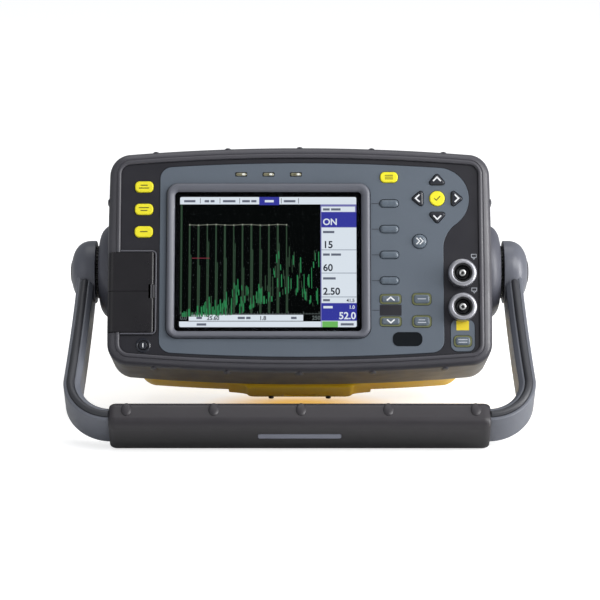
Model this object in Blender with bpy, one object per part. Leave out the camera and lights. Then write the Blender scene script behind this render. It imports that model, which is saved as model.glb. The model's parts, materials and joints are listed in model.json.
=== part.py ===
# Portable ultrasonic flaw detector, leaning back on its swung-down carrying handle.
#
# Metres, +Z up. The case is built in a frame of its own: X to the right, Y towards the back,
# Z up the face, with the origin on the axis of the handle's pivots. An empty tilts that frame
# back, and the last step sets the whole instrument down on the plane Z = 0.

import math

import bmesh
import bpy
from mathutils import Matrix, Vector

MM = 0.001

# Clearances
GAP = 0.3 * MM  # between pieces that touch
SIDE_PLAY = 0.3 * MM  # round a key or a plug in its hole

# Stance
CASE_TILT = math.radians(23.8)  # the face leans back this far from upright
CASE_CROWN = 1350 * MM  # radius of the slightly arched top and bottom edges

# Bumper, the widest ring of the case; everything on the face keeps its distance from its edges
BUMPER_HALF_WIDTH = 124.3 * MM
BUMPER_TOP = 73.5 * MM
BUMPER_BOTTOM = -75.7 * MM
PLATE_FRONT = -52 * MM  # front of the face plate under the lip
BUMPER_CORNER = 14 * MM
BUMPER_WALL = 4 * MM
BUMPER_LIP = 7.6 * MM  # how far its front lip reaches over the face
BUMPER_ROUND = 5.6 * MM  # rounding of its front edge
LIP_FRONT = PLATE_FRONT - 2.4 * MM
BUMPER_BACK = 5 * MM
NUB_PITCH = (BUMPER_HALF_WIDTH - 29.9 * MM) / 2
NUB_Y = PLATE_FRONT + 8 * MM
NUB_SIZE = (2.6 * MM, 7 * MM, 1.3 * MM)
SIDE_NUB_Z = BUMPER_TOP - 36 * MM

# Front housing
PLATE_THICKNESS = 3 * MM
HOUSING_WALL = 2.5 * MM
HOUSING_FLANGE = 2.5 * MM  # thickness of its inturned rear flange
SPIGOT_LENGTH = 5.5 * MM  # reach into the rear casing

# Rear casing
CASING_HALF_WIDTH = BUMPER_HALF_WIDTH - 14.3 * MM
CASING_TOP = BUMPER_TOP - 3 * MM
CASING_BOTTOM = BUMPER_BOTTOM + 2.7 * MM
CASING_CORNER = 13 * MM
DOOR_SEAT_Z = CASING_BOTTOM - 0.2 * MM  # flat seat of the battery door, under the arched bottom
CASING_WALL = 2.5 * MM
CASING_BACK = 60 * MM
CASING_ROUND = 9 * MM  # rounding of its rear edge
GASKET_THICKNESS = 0.8 * MM

# Membrane overlay and blue-grey fascia
OVERLAY_THICKNESS = 0.6 * MM
FASCIA_THICKNESS = 0.8 * MM
FASCIA_LEFT = 33 * MM - BUMPER_HALF_WIDTH
FASCIA_RIGHT = BUMPER_HALF_WIDTH - 30.7 * MM
FASCIA_TOP = BUMPER_TOP - 11 * MM
FASCIA_BOTTOM = BUMPER_BOTTOM + 9.7 * MM
FASCIA_CORNER = 8 * MM
FASCIA_NECK = 20 * MM  # radius of the hollow curve under the arrow keys
SOURCE_FASCIA_SIZE = (15.6 * MM, 21 * MM)
SOURCE_FASCIA_CORNER = 4.5 * MM

# Display: its lit area takes the room that the margins leave
SCREEN_LEFT = 46.1 * MM - BUMPER_HALF_WIDTH
SCREEN_RIGHT = BUMPER_HALF_WIDTH - 87.3 * MM
SCREEN_TOP = BUMPER_TOP - 33.5 * MM
SCREEN_BOTTOM = BUMPER_BOTTOM + 29.3 * MM
SCREEN_SIZE = (SCREEN_RIGHT - SCREEN_LEFT, SCREEN_TOP - SCREEN_BOTTOM)
SCREEN_X = (SCREEN_LEFT + SCREEN_RIGHT) / 2
SCREEN_Z = (SCREEN_BOTTOM + SCREEN_TOP) / 2
WINDOW_BORDER = (3.0 * MM, 2.7 * MM)  # black edge round the lit area, left and right, top and bottom
WINDOW_THICKNESS = 1.4 * MM
WINDOW_CORNER = 2.5 * MM
WINDOW_TUCK = 2.6 * MM  # how far the window reaches under the bezel
BEZEL_WIDTH = 5.9 * MM
BEZEL_HEIGHT = 4.6 * MM
BEZEL_CORNER = 7 * MM
MODULE_BODY_BORDER = 8 * MM
MODULE_FRONT_BORDER = 1.6 * MM
MODULE_DEPTH = 7 * MM

# Keys
KEY_RISE = 0.9 * MM  # above the fascia
KEY_TRAVEL = 1 * MM
KEY_FLANGE = 0.8 * MM
KEY_FLANGE_THICKNESS = 1 * MM
KEY_ROUND = 0.5 * MM
LEFT_COLUMN_X = 22.6 * MM - BUMPER_HALF_WIDTH
FUNCTION_TOP_Z = BUMPER_TOP - 27 * MM
FUNCTION_PITCH = 15 * MM
FUNCTION_KEY = (12 * MM, 7.4 * MM, 2.2 * MM)  # width, height, corner radius
SOFT_COLUMN_X = BUMPER_HALF_WIDTH - 65.9 * MM
SOFT_TOP_Z = BUMPER_TOP - 38.1 * MM
GAIN_TOP_Z = BUMPER_BOTTOM + 47.6 * MM
SOFT_PITCH = (SOFT_TOP_Z - GAIN_TOP_Z - 12.2 * MM) / 3  # the four soft keys end above the gain keys
SOFT_KEY = (12.4 * MM, 5.1 * MM, 2.4 * MM)
MENU_Z = BUMPER_TOP - 20.6 * MM
MENU_KEY = (11.6 * MM, 7.1 * MM, 2.2 * MM)
CROSS_X = BUMPER_HALF_WIDTH - 34.5 * MM
CROSS_Z = BUMPER_TOP - 34.8 * MM
CROSS_REACH = 12.7 * MM
ARROW_BASE = 10 * MM
ARROW_HEIGHT = 7.3 * MM
ARROW_ROUND = 1.6 * MM
OK_RADIUS = 5 * MM
NEXT_X = BUMPER_HALF_WIDTH - 46.2 * MM
NEXT_Z = BUMPER_TOP - 63.4 * MM
NEXT_RADIUS = 4.8 * MM
GAIN_X = SOFT_COLUMN_X + 0.6 * MM
GAIN_PITCH = 14.7 * MM
GAIN_KEY = (13.8 * MM, 6.4 * MM, 1.8 * MM)
STEP_X = BUMPER_HALF_WIDTH - 45.1 * MM
STEP_KEY = (12.4 * MM, 7.8 * MM, 2.4 * MM)
POWER_X = 22.9 * MM - BUMPER_HALF_WIDTH
POWER_Z = BUMPER_BOTTOM + 17.2 * MM
POWER_RADIUS = 2.7 * MM

# Indicator lights
LIGHT_PITCH = 17.9 * MM
LIGHT_X = SCREEN_X + 0.2 * MM
LIGHT_Z = BUMPER_TOP - 18.6 * MM
LIGHT_SIZE = (7.2 * MM, 2.3 * MM)

# Probe sockets
SOCKET_X = BUMPER_HALF_WIDTH - 18.7 * MM
SOURCE_Z = BUMPER_BOTTOM + SOCKET_X ** 2 / (2 * CASE_CROWN) + 15.8 * MM  # the key under the sockets
SOURCE_KEY = (11.7 * MM, 7.4 * MM, 2.4 * MM)
SOCKET_TOP_Z = BUMPER_BOTTOM + 65.3 * MM
SOCKET_PITCH = 22 * MM
SOCKET_RADIUS = 9.25 * MM
SOCKET_RISE = 6.5 * MM
SOCKET_MOUTH = 5.2 * MM
SOCKET_BARREL = 6.2 * MM
SOCKET_BACK = PLATE_FRONT + 13 * MM
CONTACT_RADIUS = 2.3 * MM
CONTACT_DEPTH = 2.2 * MM  # from the mouth back to the contact
INSULATOR_DEPTH = 5.2 * MM

# Doors over the connectors
RECESS_RIGHT = 30.1 * MM - BUMPER_HALF_WIDTH
RECESS_TOP = BUMPER_TOP - 70.7 * MM
RECESS_BOTTOM = BUMPER_BOTTOM + 25.5 * MM
RECESS_FLOOR = PLATE_FRONT + 14 * MM
RECESS_WALL = 2.5 * MM
RECESS_RIM = 1.3 * MM
DOOR_SPLIT_Z = (RECESS_TOP + RECESS_BOTTOM) / 2 + 0.6 * MM
DOOR_RIGHT = RECESS_RIGHT - 4 * MM
DOOR_LEFT = -BUMPER_HALF_WIDTH - 0.6 * MM
DOOR_FRONT = LIP_FRONT - 0.5 * MM
DOOR_THICKNESS = 2.6 * MM
DOOR_FLANGE_BACK = RECESS_FLOOR + 3 * MM
DOOR_ROUND = 4.5 * MM
HINGE_X = RECESS_RIGHT - 2 * MM
HINGE_Y = DOOR_FRONT + 1.7 * MM
KNUCKLE_RADIUS = 1.5 * MM
HINGE_PIN_RADIUS = 0.75 * MM
HINGE_PLAY = 0.15 * MM
EAR_HALF_HEIGHT = 4.3 * MM  # the fixed knuckle between the two doors
CONNECTOR_X = RECESS_RIGHT - 13.8 * MM

# Inside
BOARD_THICKNESS = 1.6 * MM
KEYPAD_BOARD_Y = PLATE_FRONT + 5.7 * MM
KEYPAD_BOARD_HALF_WIDTH = BUMPER_HALF_WIDTH - 16.3 * MM
MAIN_BOARD_Y = PLATE_FRONT + 22 * MM
MAIN_BOARD_INSET = 9.3 * MM
POST_RADIUS = 2.8 * MM
SHIELD_SIZE = (42 * MM, 8 * MM, 60 * MM)  # tin over the pulser, on the main board
PROCESSOR_SIZE = (30 * MM, 3 * MM, 30 * MM)
PROCESSOR_X = -15 * MM
SOUNDER_RADIUS = 7 * MM
SOUNDER_DEPTH = 7 * MM
CASING_FRONT = BUMPER_BACK + GASKET_THICKNESS + 2 * GAP
BATTERY_SIZE = (62.4 * MM, CASING_BACK - CASING_FRONT - 17.2 * MM, 70 * MM)
BATTERY_Y = CASING_FRONT + 7.2 * MM + BATTERY_SIZE[1] / 2
BAY_WALL = 2 * MM
DOOR_PLATE_SIZE = (BATTERY_SIZE[0] + 6.6 * MM, BATTERY_SIZE[1] + 9.6 * MM, 3.5 * MM)  # its underside
DOOR_PLATE_FLARE = 8 * MM  # its sides slope out this far up to the casing
FOOT_X = 19.6 * MM
FOOT_Y = BATTERY_Y + DOOR_PLATE_SIZE[1] / 2 - 5.3 * MM
FOOT_RADIUS = 4 * MM
FOOT_HEIGHT = 1.6 * MM
CASE_SCREW_X = CASING_HALF_WIDTH - 22 * MM
CASE_SCREW_HIGH = CASING_TOP - 22.5 * MM
CASE_SCREW_LOW = CASING_BOTTOM + 25 * MM
SCREW_WELL_RADIUS = 3.6 * MM
SCREW_WELL_DEPTH = 1.8 * MM
SCREW_HEAD_RADIUS = 2.8 * MM

# Handle. Along its arms, distances run from the pivot axis outwards.
HANDLE_REACH = 127.7 * MM  # pivot axis to the middle of the grip
ARM_SET_BACK = 3.4 * MM  # from the hub's outer face to the arm's, at the pivot
ARM_SPLAY = 2.4 * MM  # each arm leans out by this much down to its corner
STRAP_THICKNESS = 11 * MM
STRAP_HALF_WIDTH = 12 * MM
STRAP_CORNER = 36 * MM
BEAD_WIDTH = 5 * MM
BEAD_RISE = 2.8 * MM
GRIP_HALF_THICKNESS = 9.8 * MM
GRIP_HALF_WIDTH = 15 * MM
GRIP_CORNER = 6 * MM
INLAY_SIZE = (53 * MM, 4.6 * MM, 0.9 * MM)

# Pivots
PIVOT_BOLT_RADIUS = 4 * MM
PIVOT_PLAY = 0.3 * MM
BOSS_BASE_RADIUS = -DOOR_FLANGE_BACK - 6 * MM  # keeps clear of the doors
BOSS_TOP_RADIUS = 20.5 * MM
BOSS_TOP_X = BUMPER_HALF_WIDTH + 9.7 * MM
WASHER_RADIUS = 17.5 * MM
WASHER_THICKNESS = 2.4 * MM
HUB_RADIUS = 21 * MM
HUB_THICKNESS = 15 * MM
HUB_ROUND = 7 * MM
BOLT_HEAD_RADIUS = 8.5 * MM
BOLT_HEAD_THICKNESS = 4.7 * MM
BOLT_HEAD_SINK = 3.2 * MM

ROUND_STEPS = 20  # facets round a full turn of a turned piece
LARGE_ROUND_STEPS = 28  # the same for pivot bosses and hubs
CORNER_STEPS = 3
CROWN_STEPS = 4
BEZEL_STEPS = 4

# Worked out from the sizes above
HOUSING_OUTER = BUMPER_WALL + GAP  # inset of the housing from the bumper's outline
PLATE_BACK = PLATE_FRONT + PLATE_THICKNESS
OVERLAY_FRONT = PLATE_FRONT - GAP - OVERLAY_THICKNESS
FASCIA_FRONT = PLATE_FRONT - GAP - FASCIA_THICKNESS
KEY_FRONT = FASCIA_FRONT - KEY_RISE
KEY_BACK = PLATE_BACK + GAP + KEY_FLANGE_THICKNESS
WINDOW_SIZE = (SCREEN_SIZE[0] + 2 * WINDOW_BORDER[0], SCREEN_SIZE[1] + 2 * WINDOW_BORDER[1])
BEZEL_SIZE = (WINDOW_SIZE[0] + 2 * BEZEL_WIDTH, WINDOW_SIZE[1] + 2 * BEZEL_WIDTH)
WASHER_X = BOSS_TOP_X + GAP
HUB_INNER_X = WASHER_X + WASHER_THICKNESS + GAP
HUB_OUTER_X = HUB_INNER_X + HUB_THICKNESS
ARM_TOP_HALF_SPAN = HUB_OUTER_X - ARM_SET_BACK
ARM_FOOT_HALF_SPAN = ARM_TOP_HALF_SPAN + ARM_SPLAY
GRIP_HALF_LENGTH = ARM_FOOT_HALF_SPAN - STRAP_CORNER + 6.6 * MM  # its ends cover the start of the corners
GRIP_NUB_PITCH = (GRIP_HALF_LENGTH - 12.6 * MM) / 2
GRIP_OUTER = HANDLE_REACH + STRAP_THICKNESS / 2  # the strap's outer face where it runs through the grip

MATERIALS = {
    "dark_housing": ((0.045, 0.045, 0.052), 0.45, 0.0),
    "bumper_rubber": ((0.085, 0.085, 0.095), 0.5, 0.0),
    "dark_overlay": ((0.03, 0.03, 0.034), 0.4, 0.0),
    "blue_grey_overlay": ((0.13, 0.165, 0.205), 0.45, 0.0),
    "bezel_grey": ((0.16, 0.165, 0.19), 0.4, 0.0),
    "door_rubber": ((0.025, 0.024, 0.028), 0.55, 0.0),
    "yellow_plastic": ((0.8, 0.42, 0.05), 0.45, 0.0),
    "yellow_key": ((0.9, 0.85, 0.04), 0.5, 0.0),
    "dark_key": ((0.03, 0.033, 0.042), 0.5, 0.0),
    "grey_key": ((0.17, 0.2, 0.24), 0.5, 0.0),
    "handle_grey": ((0.19, 0.21, 0.26), 0.4, 0.0),
    "grip_rubber": ((0.05, 0.048, 0.056), 0.5, 0.0),
    "inlay_grey": ((0.2, 0.21, 0.26), 0.4, 0.0),
    "socket_metal": ((0.5, 0.5, 0.53), 0.3, 1.0),
    "black_plastic": ((0.012, 0.012, 0.013), 0.4, 0.0),
    "clear_window": ((0.02, 0.02, 0.022), 0.08, 0.0),
    "display_black": ((0.01, 0.012, 0.012), 0.3, 0.0),
    "board_green": ((0.02, 0.12, 0.05), 0.5, 0.0),
    "battery_grey": ((0.08, 0.08, 0.09), 0.5, 0.0),
    "steel": ((0.45, 0.45, 0.47), 0.35, 1.0),
    "brass": ((0.7, 0.5, 0.2), 0.35, 1.0),
}


# Scene and materials

def clear_scene():
    for obj in list(bpy.data.objects):
        bpy.data.objects.remove(obj)


def material(name):
    """The named material, made at its first use."""
    found = bpy.data.materials.get(name)
    if found:
        return found
    colour, roughness, metallic = MATERIALS[name]
    made = bpy.data.materials.new(name)
    made.use_nodes = True
    shader = made.node_tree.nodes["Principled BSDF"]
    shader.inputs["Base Color"].default_value = (*colour, 1)
    shader.inputs["Roughness"].default_value = roughness
    shader.inputs["Metallic"].default_value = metallic
    return made


def empty(name, parent=None):
    obj = bpy.data.objects.new(name, None)
    bpy.context.collection.objects.link(obj)
    obj.parent = parent
    return obj


# Outlines: lists of (x, z), running anticlockwise as seen from the front

def arc(centre, radius, start, end, steps):
    """Points along an arc; angles in degrees from +X towards +Z."""
    points = []
    for i in range(steps + 1):
        angle = math.radians(start + (end - start) * i / steps)
        points.append((centre[0] + radius * math.cos(angle), centre[1] + radius * math.sin(angle)))
    return points


def circle(centre, radius, steps=ROUND_STEPS):
    return arc(centre, radius, 0, 360 - 360 / steps, steps - 1)


def round_corners(centres, radius, steps):
    """The convex outline at a distance from the polygon through the corner centres."""
    points = []
    count = len(centres)
    for i, centre in enumerate(centres):
        before = Vector(centre) - Vector(centres[i - 1])
        after = Vector(centres[(i + 1) % count]) - Vector(centre)
        start = math.degrees(math.atan2(before.y, before.x)) - 90
        turn = math.degrees(math.atan2(before.cross(after), before.dot(after)))
        points += arc(centre, radius, start, start + turn, steps)
    return points


def rounded_box(centre, size, radius, grow=0.0, steps=2):
    half_x = size[0] / 2 - radius
    half_z = size[1] / 2 - radius
    centres = [
        (centre[0] + sx * half_x, centre[1] + sz * half_z)
        for sx, sz in ((-1, -1), (1, -1), (1, 1), (-1, 1))
    ]
    return round_corners(centres, radius + grow, steps)


def rectangle(centre, size, grow=0.0):
    half_x = size[0] / 2 + grow
    half_z = size[1] / 2 + grow
    return [(centre[0] + sx * half_x, centre[1] + sz * half_z)
            for sx, sz in ((-1, -1), (1, -1), (1, 1), (-1, 1))]


def arrow_outline(centre, direction, grow=0.0):
    """A rounded triangle that points along direction, with its height centred."""
    along = Vector(direction)
    across = Vector((-along.y, along.x))
    half_base = ARROW_BASE / 2 - ARROW_ROUND
    half_height = ARROW_HEIGHT / 2 - ARROW_ROUND
    middle = Vector(centre)
    tip = middle + along * half_height
    base = middle - along * half_height
    corners = [tuple(tip), tuple(base + across * half_base), tuple(base - across * half_base)]
    return round_corners(corners, ARROW_ROUND + grow, 3)


class Crowned:
    """A rounded box whose top and bottom edges are slightly arched."""

    def __init__(self, half_width, top, bottom, corner):
        self.half_width = half_width
        self.top = top
        self.bottom = bottom
        self.corner = corner

    def inset(self, by):
        corner = max(self.corner - by, 0.8 * MM)
        return Crowned(self.half_width - by, self.top - by, self.bottom + by, corner)

    def top_at(self, x):
        return self.top - x * x / (2 * CASE_CROWN)

    def bottom_at(self, x):
        return self.bottom + x * x / (2 * CASE_CROWN)

    def points(self):
        turn_x = self.half_width - self.corner
        low = self.bottom_at(turn_x) + self.corner
        high = self.top_at(turn_x) - self.corner
        span = [turn_x * (2 * i / CROWN_STEPS - 1) for i in range(1, CROWN_STEPS)]
        return (
            arc((turn_x, high), self.corner, 0, 90, CORNER_STEPS)
            + [(-x, self.top_at(x)) for x in span]
            + arc((-turn_x, high), self.corner, 90, 180, CORNER_STEPS)
            + arc((-turn_x, low), self.corner, 180, 270, CORNER_STEPS)
            + [(x, self.bottom_at(x)) for x in span]
            + arc((turn_x, low), self.corner, 270, 360, CORNER_STEPS)
        )


BUMPER = Crowned(BUMPER_HALF_WIDTH, BUMPER_TOP, BUMPER_BOTTOM, BUMPER_CORNER)
CASING = Crowned(CASING_HALF_WIDTH, CASING_TOP, CASING_BOTTOM, CASING_CORNER)
FASCIA = Crowned(FASCIA_RIGHT, FASCIA_TOP, FASCIA_BOTTOM, FASCIA_CORNER)


def fascia_outline(grow=0.0):
    """The blue-grey field: straight at the left, bulging round the arrow keys at the right."""
    edges = FASCIA.inset(-grow)
    corner = FASCIA_CORNER + grow
    left = FASCIA_LEFT - grow
    right = FASCIA_RIGHT + grow
    bulge = edges.top_at(CROSS_X) - CROSS_Z
    neck = FASCIA_NECK - grow
    neck_x = right + neck
    neck_z = CROSS_Z - math.sqrt((bulge + neck) ** 2 - (neck_x - CROSS_X) ** 2)
    neck_turn = math.degrees(math.atan2(CROSS_Z - neck_z, CROSS_X - neck_x))
    low_left = (left + corner, edges.bottom_at(left + corner) + corner)
    low_right = (right - corner, edges.bottom_at(right - corner) + corner)
    high_left = (left + corner, edges.top_at(left + corner) - corner)
    span = [left + corner + (right - left - 2 * corner) * i / CROWN_STEPS for i in range(1, CROWN_STEPS)]
    back = [CROSS_X + (left + corner - CROSS_X) * i / CROWN_STEPS for i in range(1, CROWN_STEPS)]
    return (
        arc(low_left, corner, 180, 270, CORNER_STEPS)
        + [(x, edges.bottom_at(x)) for x in span]
        + arc(low_right, corner, 270, 360, CORNER_STEPS)
        + arc((neck_x, neck_z), neck, 180, neck_turn, 5)
        + arc((CROSS_X, CROSS_Z), bulge, neck_turn - 180, 90, 10)[1:]
        + [(x, edges.top_at(x)) for x in back]
        + arc(high_left, corner, 90, 180, CORNER_STEPS)
    )


# Solids

def at_depth(outline, y):
    """The outline as a ring of points at a depth."""
    return [Vector((x, y, z)) for x, z in outline]


def solid(name, rings, look, parent, closed=False):
    """A mesh through rings of equally many points: capped at both ends, or closed on itself."""
    mesh = bpy.data.meshes.new(name)
    work = bmesh.new()
    rows = [[work.verts.new(point) for point in ring] for ring in rings]
    count = len(rows[0])
    pairs = list(zip(rows, rows[1:]))
    if closed:
        pairs.append((rows[-1], rows[0]))
    for first, second in pairs:
        for i in range(count):
            j = (i + 1) % count
            work.faces.new((first[i], first[j], second[j], second[i]))
    if not closed:
        work.faces.new(rows[0])
        work.faces.new(rows[-1])
    bmesh.ops.recalc_face_normals(work, faces=work.faces)
    work.to_mesh(mesh)
    work.free()
    mesh.materials.append(material(look))
    mesh.shade_smooth()
    mesh.set_sharp_from_angle(angle=math.radians(35))
    obj = bpy.data.objects.new(name, mesh)
    bpy.context.collection.objects.link(obj)
    obj.parent = parent
    return obj


def prism(name, outline, front, back, look, parent):
    return solid(name, [at_depth(outline, front), at_depth(outline, back)], look, parent)


def box(name, low, high, look, parent):
    corners = [(low[0], low[2]), (high[0], low[2]), (high[0], high[2]), (low[0], high[2])]
    return prism(name, corners, low[1], high[1], look, parent)


def turned(name, profile, look, parent, axis="Y", centre=(0, 0), steps=ROUND_STEPS, closed=True, side=1):
    """A turned solid from (radius, place along the axis) pairs; side -1 mirrors it along the axis."""
    rings = []
    for radius, place in profile:
        ring = circle(centre, radius, steps)
        if axis == "Y":
            rings.append([Vector((a, side * place, b)) for a, b in ring])
        elif axis == "X":
            rings.append([Vector((side * place, a, b)) for a, b in ring])
        else:
            rings.append([Vector((a, b, side * place)) for a, b in ring])
    return solid(name, rings, look, parent, closed)


def place_origin(obj, origin):
    """Moves an object's origin, with the solid staying where it is."""
    origin = Vector(origin)
    obj.data.transform(Matrix.Translation(-origin))
    obj.location = origin
    return obj


def as_tool(obj):
    obj.hide_render = True
    obj.display_type = "WIRE"
    return obj


def boolean(obj, operation, tool):
    modifier = obj.modifiers.new(f"{operation.lower()}_{tool.name}", "BOOLEAN")
    modifier.operation = operation
    modifier.solver = "EXACT"
    modifier.object = as_tool(tool)


def cut(obj, *tools):
    for tool in tools:
        boolean(obj, "DIFFERENCE", tool)


def unite(obj, *tools):
    for tool in tools:
        boolean(obj, "UNION", tool)


def soften(obj, width, segments=1):
    modifier = obj.modifiers.new("softened_edges", "BEVEL")
    modifier.width = width
    modifier.segments = segments
    modifier.limit_method = "ANGLE"
    modifier.angle_limit = math.radians(50)


def merged(name, parts, parent):
    """One object from several that don't touch, for use as a tool."""
    mesh = bpy.data.meshes.new(name)
    work = bmesh.new()
    for part in parts:
        work.from_mesh(part.data)
        bpy.data.objects.remove(part)
    work.to_mesh(mesh)
    work.free()
    obj = bpy.data.objects.new(name, mesh)
    bpy.context.collection.objects.link(obj)
    obj.parent = parent
    return as_tool(obj)


def nub(name, centre, size, parent, sideways=False):
    """A low rounded nub that runs along Y."""
    mesh = bpy.data.meshes.new(name)
    work = bmesh.new()
    bmesh.ops.create_uvsphere(work, u_segments=8, v_segments=5, radius=1)
    reach = (size[2], size[1], size[0]) if sideways else size
    bmesh.ops.scale(work, vec=reach, verts=work.verts)
    bmesh.ops.translate(work, vec=centre, verts=work.verts)
    work.to_mesh(mesh)
    work.free()
    obj = bpy.data.objects.new(name, mesh)
    bpy.context.collection.objects.link(obj)
    obj.parent = parent
    return obj


# Keys: each is (name, outline function of an outward growth, centre, look)

def key_table():
    def boxed(centre, key):
        return lambda grow: rounded_box(centre, key[:2], key[2], grow)

    def round_key(centre, radius):
        return lambda grow: circle(centre, radius + grow, 16)

    def arrow(centre, direction):
        return lambda grow: arrow_outline(centre, direction, grow)

    keys = []
    for i, place in enumerate(("top", "middle", "bottom")):
        centre = (LEFT_COLUMN_X, FUNCTION_TOP_Z - i * FUNCTION_PITCH)
        keys.append((f"function_key_{place}", boxed(centre, FUNCTION_KEY), centre, "yellow_key"))
    for i in range(4):
        centre = (SOFT_COLUMN_X, SOFT_TOP_Z - i * SOFT_PITCH)
        keys.append((f"soft_key_{i + 1}", boxed(centre, SOFT_KEY), centre, "grey_key"))
    for name, direction in (("up", (0, 1)), ("right", (1, 0)), ("down", (0, -1)), ("left", (-1, 0))):
        centre = (CROSS_X + CROSS_REACH * direction[0], CROSS_Z + CROSS_REACH * direction[1])
        keys.append((f"arrow_{name}_key", arrow(centre, direction), centre, "dark_key"))
    cross = (CROSS_X, CROSS_Z)
    keys.append(("ok_key", round_key(cross, OK_RADIUS), cross, "yellow_key"))
    menu = (SOFT_COLUMN_X, MENU_Z)
    keys.append(("menu_key", boxed(menu, MENU_KEY), menu, "yellow_key"))
    following = (NEXT_X, NEXT_Z)
    keys.append(("next_key", round_key(following, NEXT_RADIUS), following, "grey_key"))
    gain_up = (GAIN_X, GAIN_TOP_Z)
    gain_down = (GAIN_X, GAIN_TOP_Z - GAIN_PITCH)
    keys.append(("gain_up_key", boxed(gain_up, GAIN_KEY), gain_up, "dark_key"))
    keys.append(("gain_down_key", boxed(gain_down, GAIN_KEY), gain_down, "dark_key"))
    step = (STEP_X, GAIN_TOP_Z)
    reference = (STEP_X, GAIN_TOP_Z - GAIN_PITCH)
    keys.append(("step_key", boxed(step, STEP_KEY), step, "grey_key"))
    keys.append(("reference_key", boxed(reference, STEP_KEY), reference, "grey_key"))
    source = (SOCKET_X, SOURCE_Z)
    keys.append(("source_key", boxed(source, SOURCE_KEY), source, "grey_key"))
    power = (POWER_X, POWER_Z)
    keys.append(("power_key", round_key(power, POWER_RADIUS), power, "dark_key"))
    return keys


def make_keys(keys, frame):
    """Caps with a flange behind the plate, so that they can't fall out of their holes."""
    flange_front = PLATE_BACK + GAP
    for name, outline, centre, look in keys:
        rings = [
            at_depth(outline(-KEY_ROUND), KEY_FRONT),
            at_depth(outline(0), KEY_FRONT + KEY_ROUND),
            at_depth(outline(0), flange_front),
            at_depth(outline(KEY_FLANGE), flange_front),
            at_depth(outline(KEY_FLANGE), KEY_BACK),
        ]
        key = solid(name, rings, look, frame)
        place_origin(key, (centre[0], KEY_BACK, centre[1]))


def key_holes(keys, frame):
    ahead = KEY_FRONT - 5 * MM
    behind = PLATE_BACK + 5 * MM
    cutters = [prism(f"hole_{name}", outline(SIDE_PLAY), ahead, behind, look, frame)
               for name, outline, centre, look in keys]
    return merged("key_holes", cutters, frame)


# Shared cutters

def socket_centres():
    return [("upper", (SOCKET_X, SOCKET_TOP_Z)), ("lower", (SOCKET_X, SOCKET_TOP_Z - SOCKET_PITCH))]


def socket_holes(radius, name, frame):
    holes = [prism(f"{name}_{place}", circle(centre, radius), LIP_FRONT - 10 * MM, 0, "steel", frame)
             for place, centre in socket_centres()]
    return merged(name, holes, frame)


def light_centres():
    return [(LIGHT_X + i * LIGHT_PITCH, LIGHT_Z) for i in (-1, 0, 1)]


def light_holes(frame):
    holes = []
    for i, centre in enumerate(light_centres()):
        outline = rectangle(centre, LIGHT_SIZE, SIDE_PLAY)
        holes.append(prism(f"light_hole_{i}", outline, LIP_FRONT, PLATE_BACK + MM, "steel", frame))
    return merged("light_holes", holes, frame)


def window_outline(grow=0.0):
    return rounded_box((SCREEN_X, SCREEN_Z), WINDOW_SIZE, WINDOW_CORNER, grow, BEZEL_STEPS)


def bezel_outline(grow=0.0):
    return rounded_box((SCREEN_X, SCREEN_Z), BEZEL_SIZE, BEZEL_CORNER, grow, BEZEL_STEPS)


def front_of_door_recess(grow, frame):
    """The recess with its rim, as a cutter for the overlay."""
    low = (-BUMPER_HALF_WIDTH, LIP_FRONT - MM, RECESS_BOTTOM - RECESS_RIM - grow)
    high = (RECESS_RIGHT + RECESS_RIM + grow, PLATE_BACK, RECESS_TOP + RECESS_RIM + grow)
    return box("overlay_recess_cut", low, high, "steel", frame)


def pivot_bores(frame):
    """Holes for both pivot bolts, through the housing's side walls."""
    bores = []
    for side in (-1, 1):
        profile = [(PIVOT_BOLT_RADIUS + PIVOT_PLAY, CASING_HALF_WIDTH - 8 * MM),
                   (PIVOT_BOLT_RADIUS + PIVOT_PLAY, BUMPER_HALF_WIDTH + 20 * MM)]
        bores.append(turned(f"pivot_bore_{side}", profile, "steel", frame, "X", closed=False, side=side))
    return merged("pivot_bores", bores, frame)


# Case

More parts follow.
